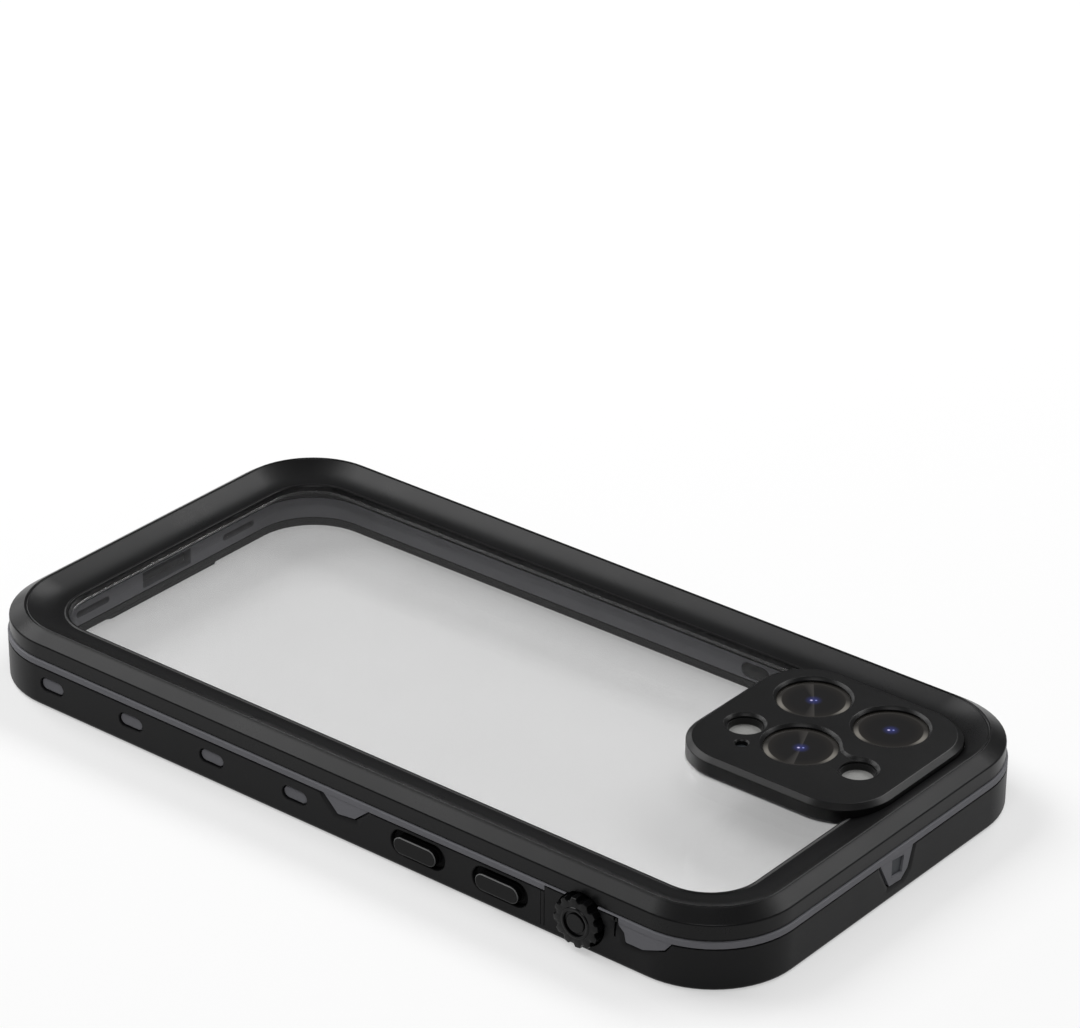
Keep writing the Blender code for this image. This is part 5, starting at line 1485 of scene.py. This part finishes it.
def scallops(shrink, depth):
    """A round dial between blunt tips and round roots."""
    points = []
    for number in range(KNOB_COUNT):
        share = number / TOOTH_STEPS % 1.0
        gap_share = max(0.0, (share - TOOTH_SHARE) / (1.0 - TOOTH_SHARE))
        fall = math.sin(math.pi * gap_share) ** 0.8
        radius = KNOB_TIP - (KNOB_TIP - KNOB_ROOT) * fall - shrink
        angle = 2 * math.pi * number / KNOB_COUNT
        points.append((radius * math.cos(angle), radius * math.sin(angle), depth))
    return polygon(points)


knob_loops = [circle(SHAFT_RADIUS, KNOB_SUNK - SHAFT_LENGTH, KNOB_COUNT),
              circle(SHAFT_RADIUS, -KNOB_SUNK, KNOB_COUNT),
              scallops(KNOB_EDGE, -KNOB_SUNK), scallops(0.0, KNOB_EDGE - KNOB_SUNK),
              scallops(0.0, KNOB_FACE - KNOB_EDGE), scallops(KNOB_EDGE * 0.3, KNOB_FACE - KNOB_EDGE * 0.3),
              scallops(KNOB_EDGE, KNOB_FACE)]
knob_loops += [circle(radius, KNOB_FACE + height, KNOB_COUNT) for radius, height in FACE_RINGS]
knob = put(loft("dial_mute", knob_loops), knob_place)
close(knob, control_black, "mute", "mute_knob")

# %% [markdown]
# ## The port cover
#
# One side profile gives the barrel round the hinge pin, the slanted foot, the face and the proud
# lip for a fingernail. A ring groove leaves the pill-shaped grip.

# %% Make the port cover
COVER_HALF = 0.00925
BARREL = 0.0012
COVER_BACK = SHELL_WALL - PIN_INSET
COVER_TOP = BAND_TOP - PIN_HEIGHT
COVER_FACE = PIN_INSET + 0.0008
COVER_LIP = COVER_FACE + 0.0005
LIP_START = COVER_TOP - 0.001
LIP_ROUND = 0.0004
SLANT_RISE = 0.0016
GRIP_SIZE = (0.0096, 0.002)
GRIP_GROOVE = grown(GRIP_SIZE, 0.0007)
GRIP_FLOOR = COVER_FACE - 0.0004
tangent = math.atan2(COVER_FACE, SLANT_RISE) + math.acos(BARREL / math.hypot(COVER_FACE, SLANT_RISE))
barrel_end = 2 * math.pi - math.asin(COVER_BACK / BARREL)
cover_outline = arc((0.0, 0.0), BARREL, math.degrees(tangent), math.degrees(barrel_end), 28)
cover_outline += [(COVER_TOP, -COVER_BACK), (COVER_TOP, COVER_LIP - LIP_ROUND),
                  (COVER_TOP - 0.00012, COVER_LIP - 0.00012), (COVER_TOP - LIP_ROUND, COVER_LIP),
                  (LIP_START, COVER_LIP), (LIP_START - 0.0005, COVER_FACE), (SLANT_RISE, COVER_FACE)]
port_cover = slab(cover_outline, COVER_HALF, PIN_FRAME)
port_cover.name = "port_flap"
pin_bore = slab(arc((0.0, 0.0), PIN_BORE, 0, 345, 23), COVER_HALF * 2, PIN_FRAME)
grip_loops = [stadium(*GRIP_GROOVE, GRIP_FLOOR), stadium(*GRIP_GROOVE, COVER_FACE + OVERRUN),
              stadium(*GRIP_SIZE, COVER_FACE + OVERRUN), stadium(*GRIP_SIZE, GRIP_FLOOR)]
grip_place = PIN_FRAME @ Matrix.Translation((0.0, ROOM_MIDDLE - PIN_HEIGHT, 0.0))
combine(port_cover, [pin_bore, put(loft("grip_groove", grip_loops, closed=True), grip_place)])
close(port_cover, shell_black, "port_lid", "port_cover")

# %% [markdown]
# ## The plug
#
# The soft plug fills the port hole. Its top is an arc about the hinge, so that it can swing out,
# and its edges are rounded as rubber is.

# %% Make the plug
PLUG_GAP = 0.00015
PLUG_DEPTH = 0.0028
PLUG_STEPS = 24
PLUG_SOFT = 0.00012
plug_middle = ROOM_MIDDLE - PIN_HEIGHT
plug_root = COVER_BACK + 0.0001
plug_swing = math.hypot(LINER_INSET - PIN_INSET, plug_middle + half_hole) - PLUG_GAP
plug_low = plug_middle - half_hole + PLUG_GAP
plug_outline = [(plug_low + PLUG_GAP, -plug_root - PLUG_DEPTH)]
for step in range(PLUG_STEPS, -1, -1):
    reach = plug_root + PLUG_DEPTH * step / PLUG_STEPS
    plug_outline.append((math.sqrt(plug_swing ** 2 - reach ** 2), -reach))
plug_outline.append((plug_low, -plug_root))
plug = slab(plug_outline, PORT_HOLE[0] / 2 - PLUG_GAP, PIN_FRAME)
plug.name = "soft_port_plug"
rounding = plug.modifiers.new("rounding", "BEVEL")
rounding.width = PLUG_SOFT
rounding.segments = 4
pick_only(plug)
bpy.ops.object.modifier_apply(modifier=rounding.name)
close(plug, plug_grey, "port_lid", "port_plug")

# %% [markdown]
# ## The hinge pin
#
# A turned rod with domed ends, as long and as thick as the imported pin.

# %% Make the hinge pin
DOME = ((0.5, 0.0), (0.87, 0.13), (1.0, 0.4))
pin_low, pin_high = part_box("port_hinge_pin")
PIN_RADIUS = (pin_high.z - pin_low.z) / 2
PIN_HALF = (pin_high.y - pin_low.y) / 2
pin_rings = [(PIN_RADIUS * share, side * (PIN_HALF - PIN_RADIUS * fall))
             for side, dome in ((-1, DOME), (1, DOME[::-1])) for share, fall in dome]
pin_turn = Matrix.Translation(middle("port_hinge_pin")) @ Matrix.Rotation(math.pi / 2, 4, "X")
pin = put(turned("turned_hinge_pin", 32, *pin_rings), pin_turn)
close(pin, pin_steel, "case", "port_hinge_pin")

# %% [markdown]
# ## The floor
#
# A wide pale floor that keeps the soft shadow of the case. Nearly half of what the camera and the
# mirroring plastic see of it is a glow of its own, so that it is all but white without more light
# on the case. The glow also keeps the shadow light.

# %% Lay the floor
FLOOR_SIZE = 8.0
FLOOR_DROP = 0.00005
FLOOR_GREY = (0.5, 0.5, 0.5)
FLOOR_GLOW = 0.46
SEEN_BY = ("Is Camera Ray", "Is Glossy Ray", "Is Transmission Ray")

bpy.ops.object.select_all(action="DESELECT")
bpy.ops.mesh.primitive_plane_add(size=FLOOR_SIZE, location=(0.0, 0.0, -FLOOR_DROP))
floor = bpy.context.object
floor.name = "floor"
floor_finish = Finish("pale_floor")
seen = sum((floor_finish.node("LightPath", output=ray) for ray in SEEN_BY), 0.0)
floor_finish.paint(Base_Color=FLOOR_GREY, Roughness=0.9, Specular_IOR_Level=0.0,
                   Emission_Color=floor_finish.mix(seen, (0.0, 0.0, 0.0), (1.0, 1.0, 1.0)),
                   Emission_Strength=FLOOR_GLOW)
floor.data.materials.append(floor_finish.material)
print("floor of", FLOOR_SIZE, "m")
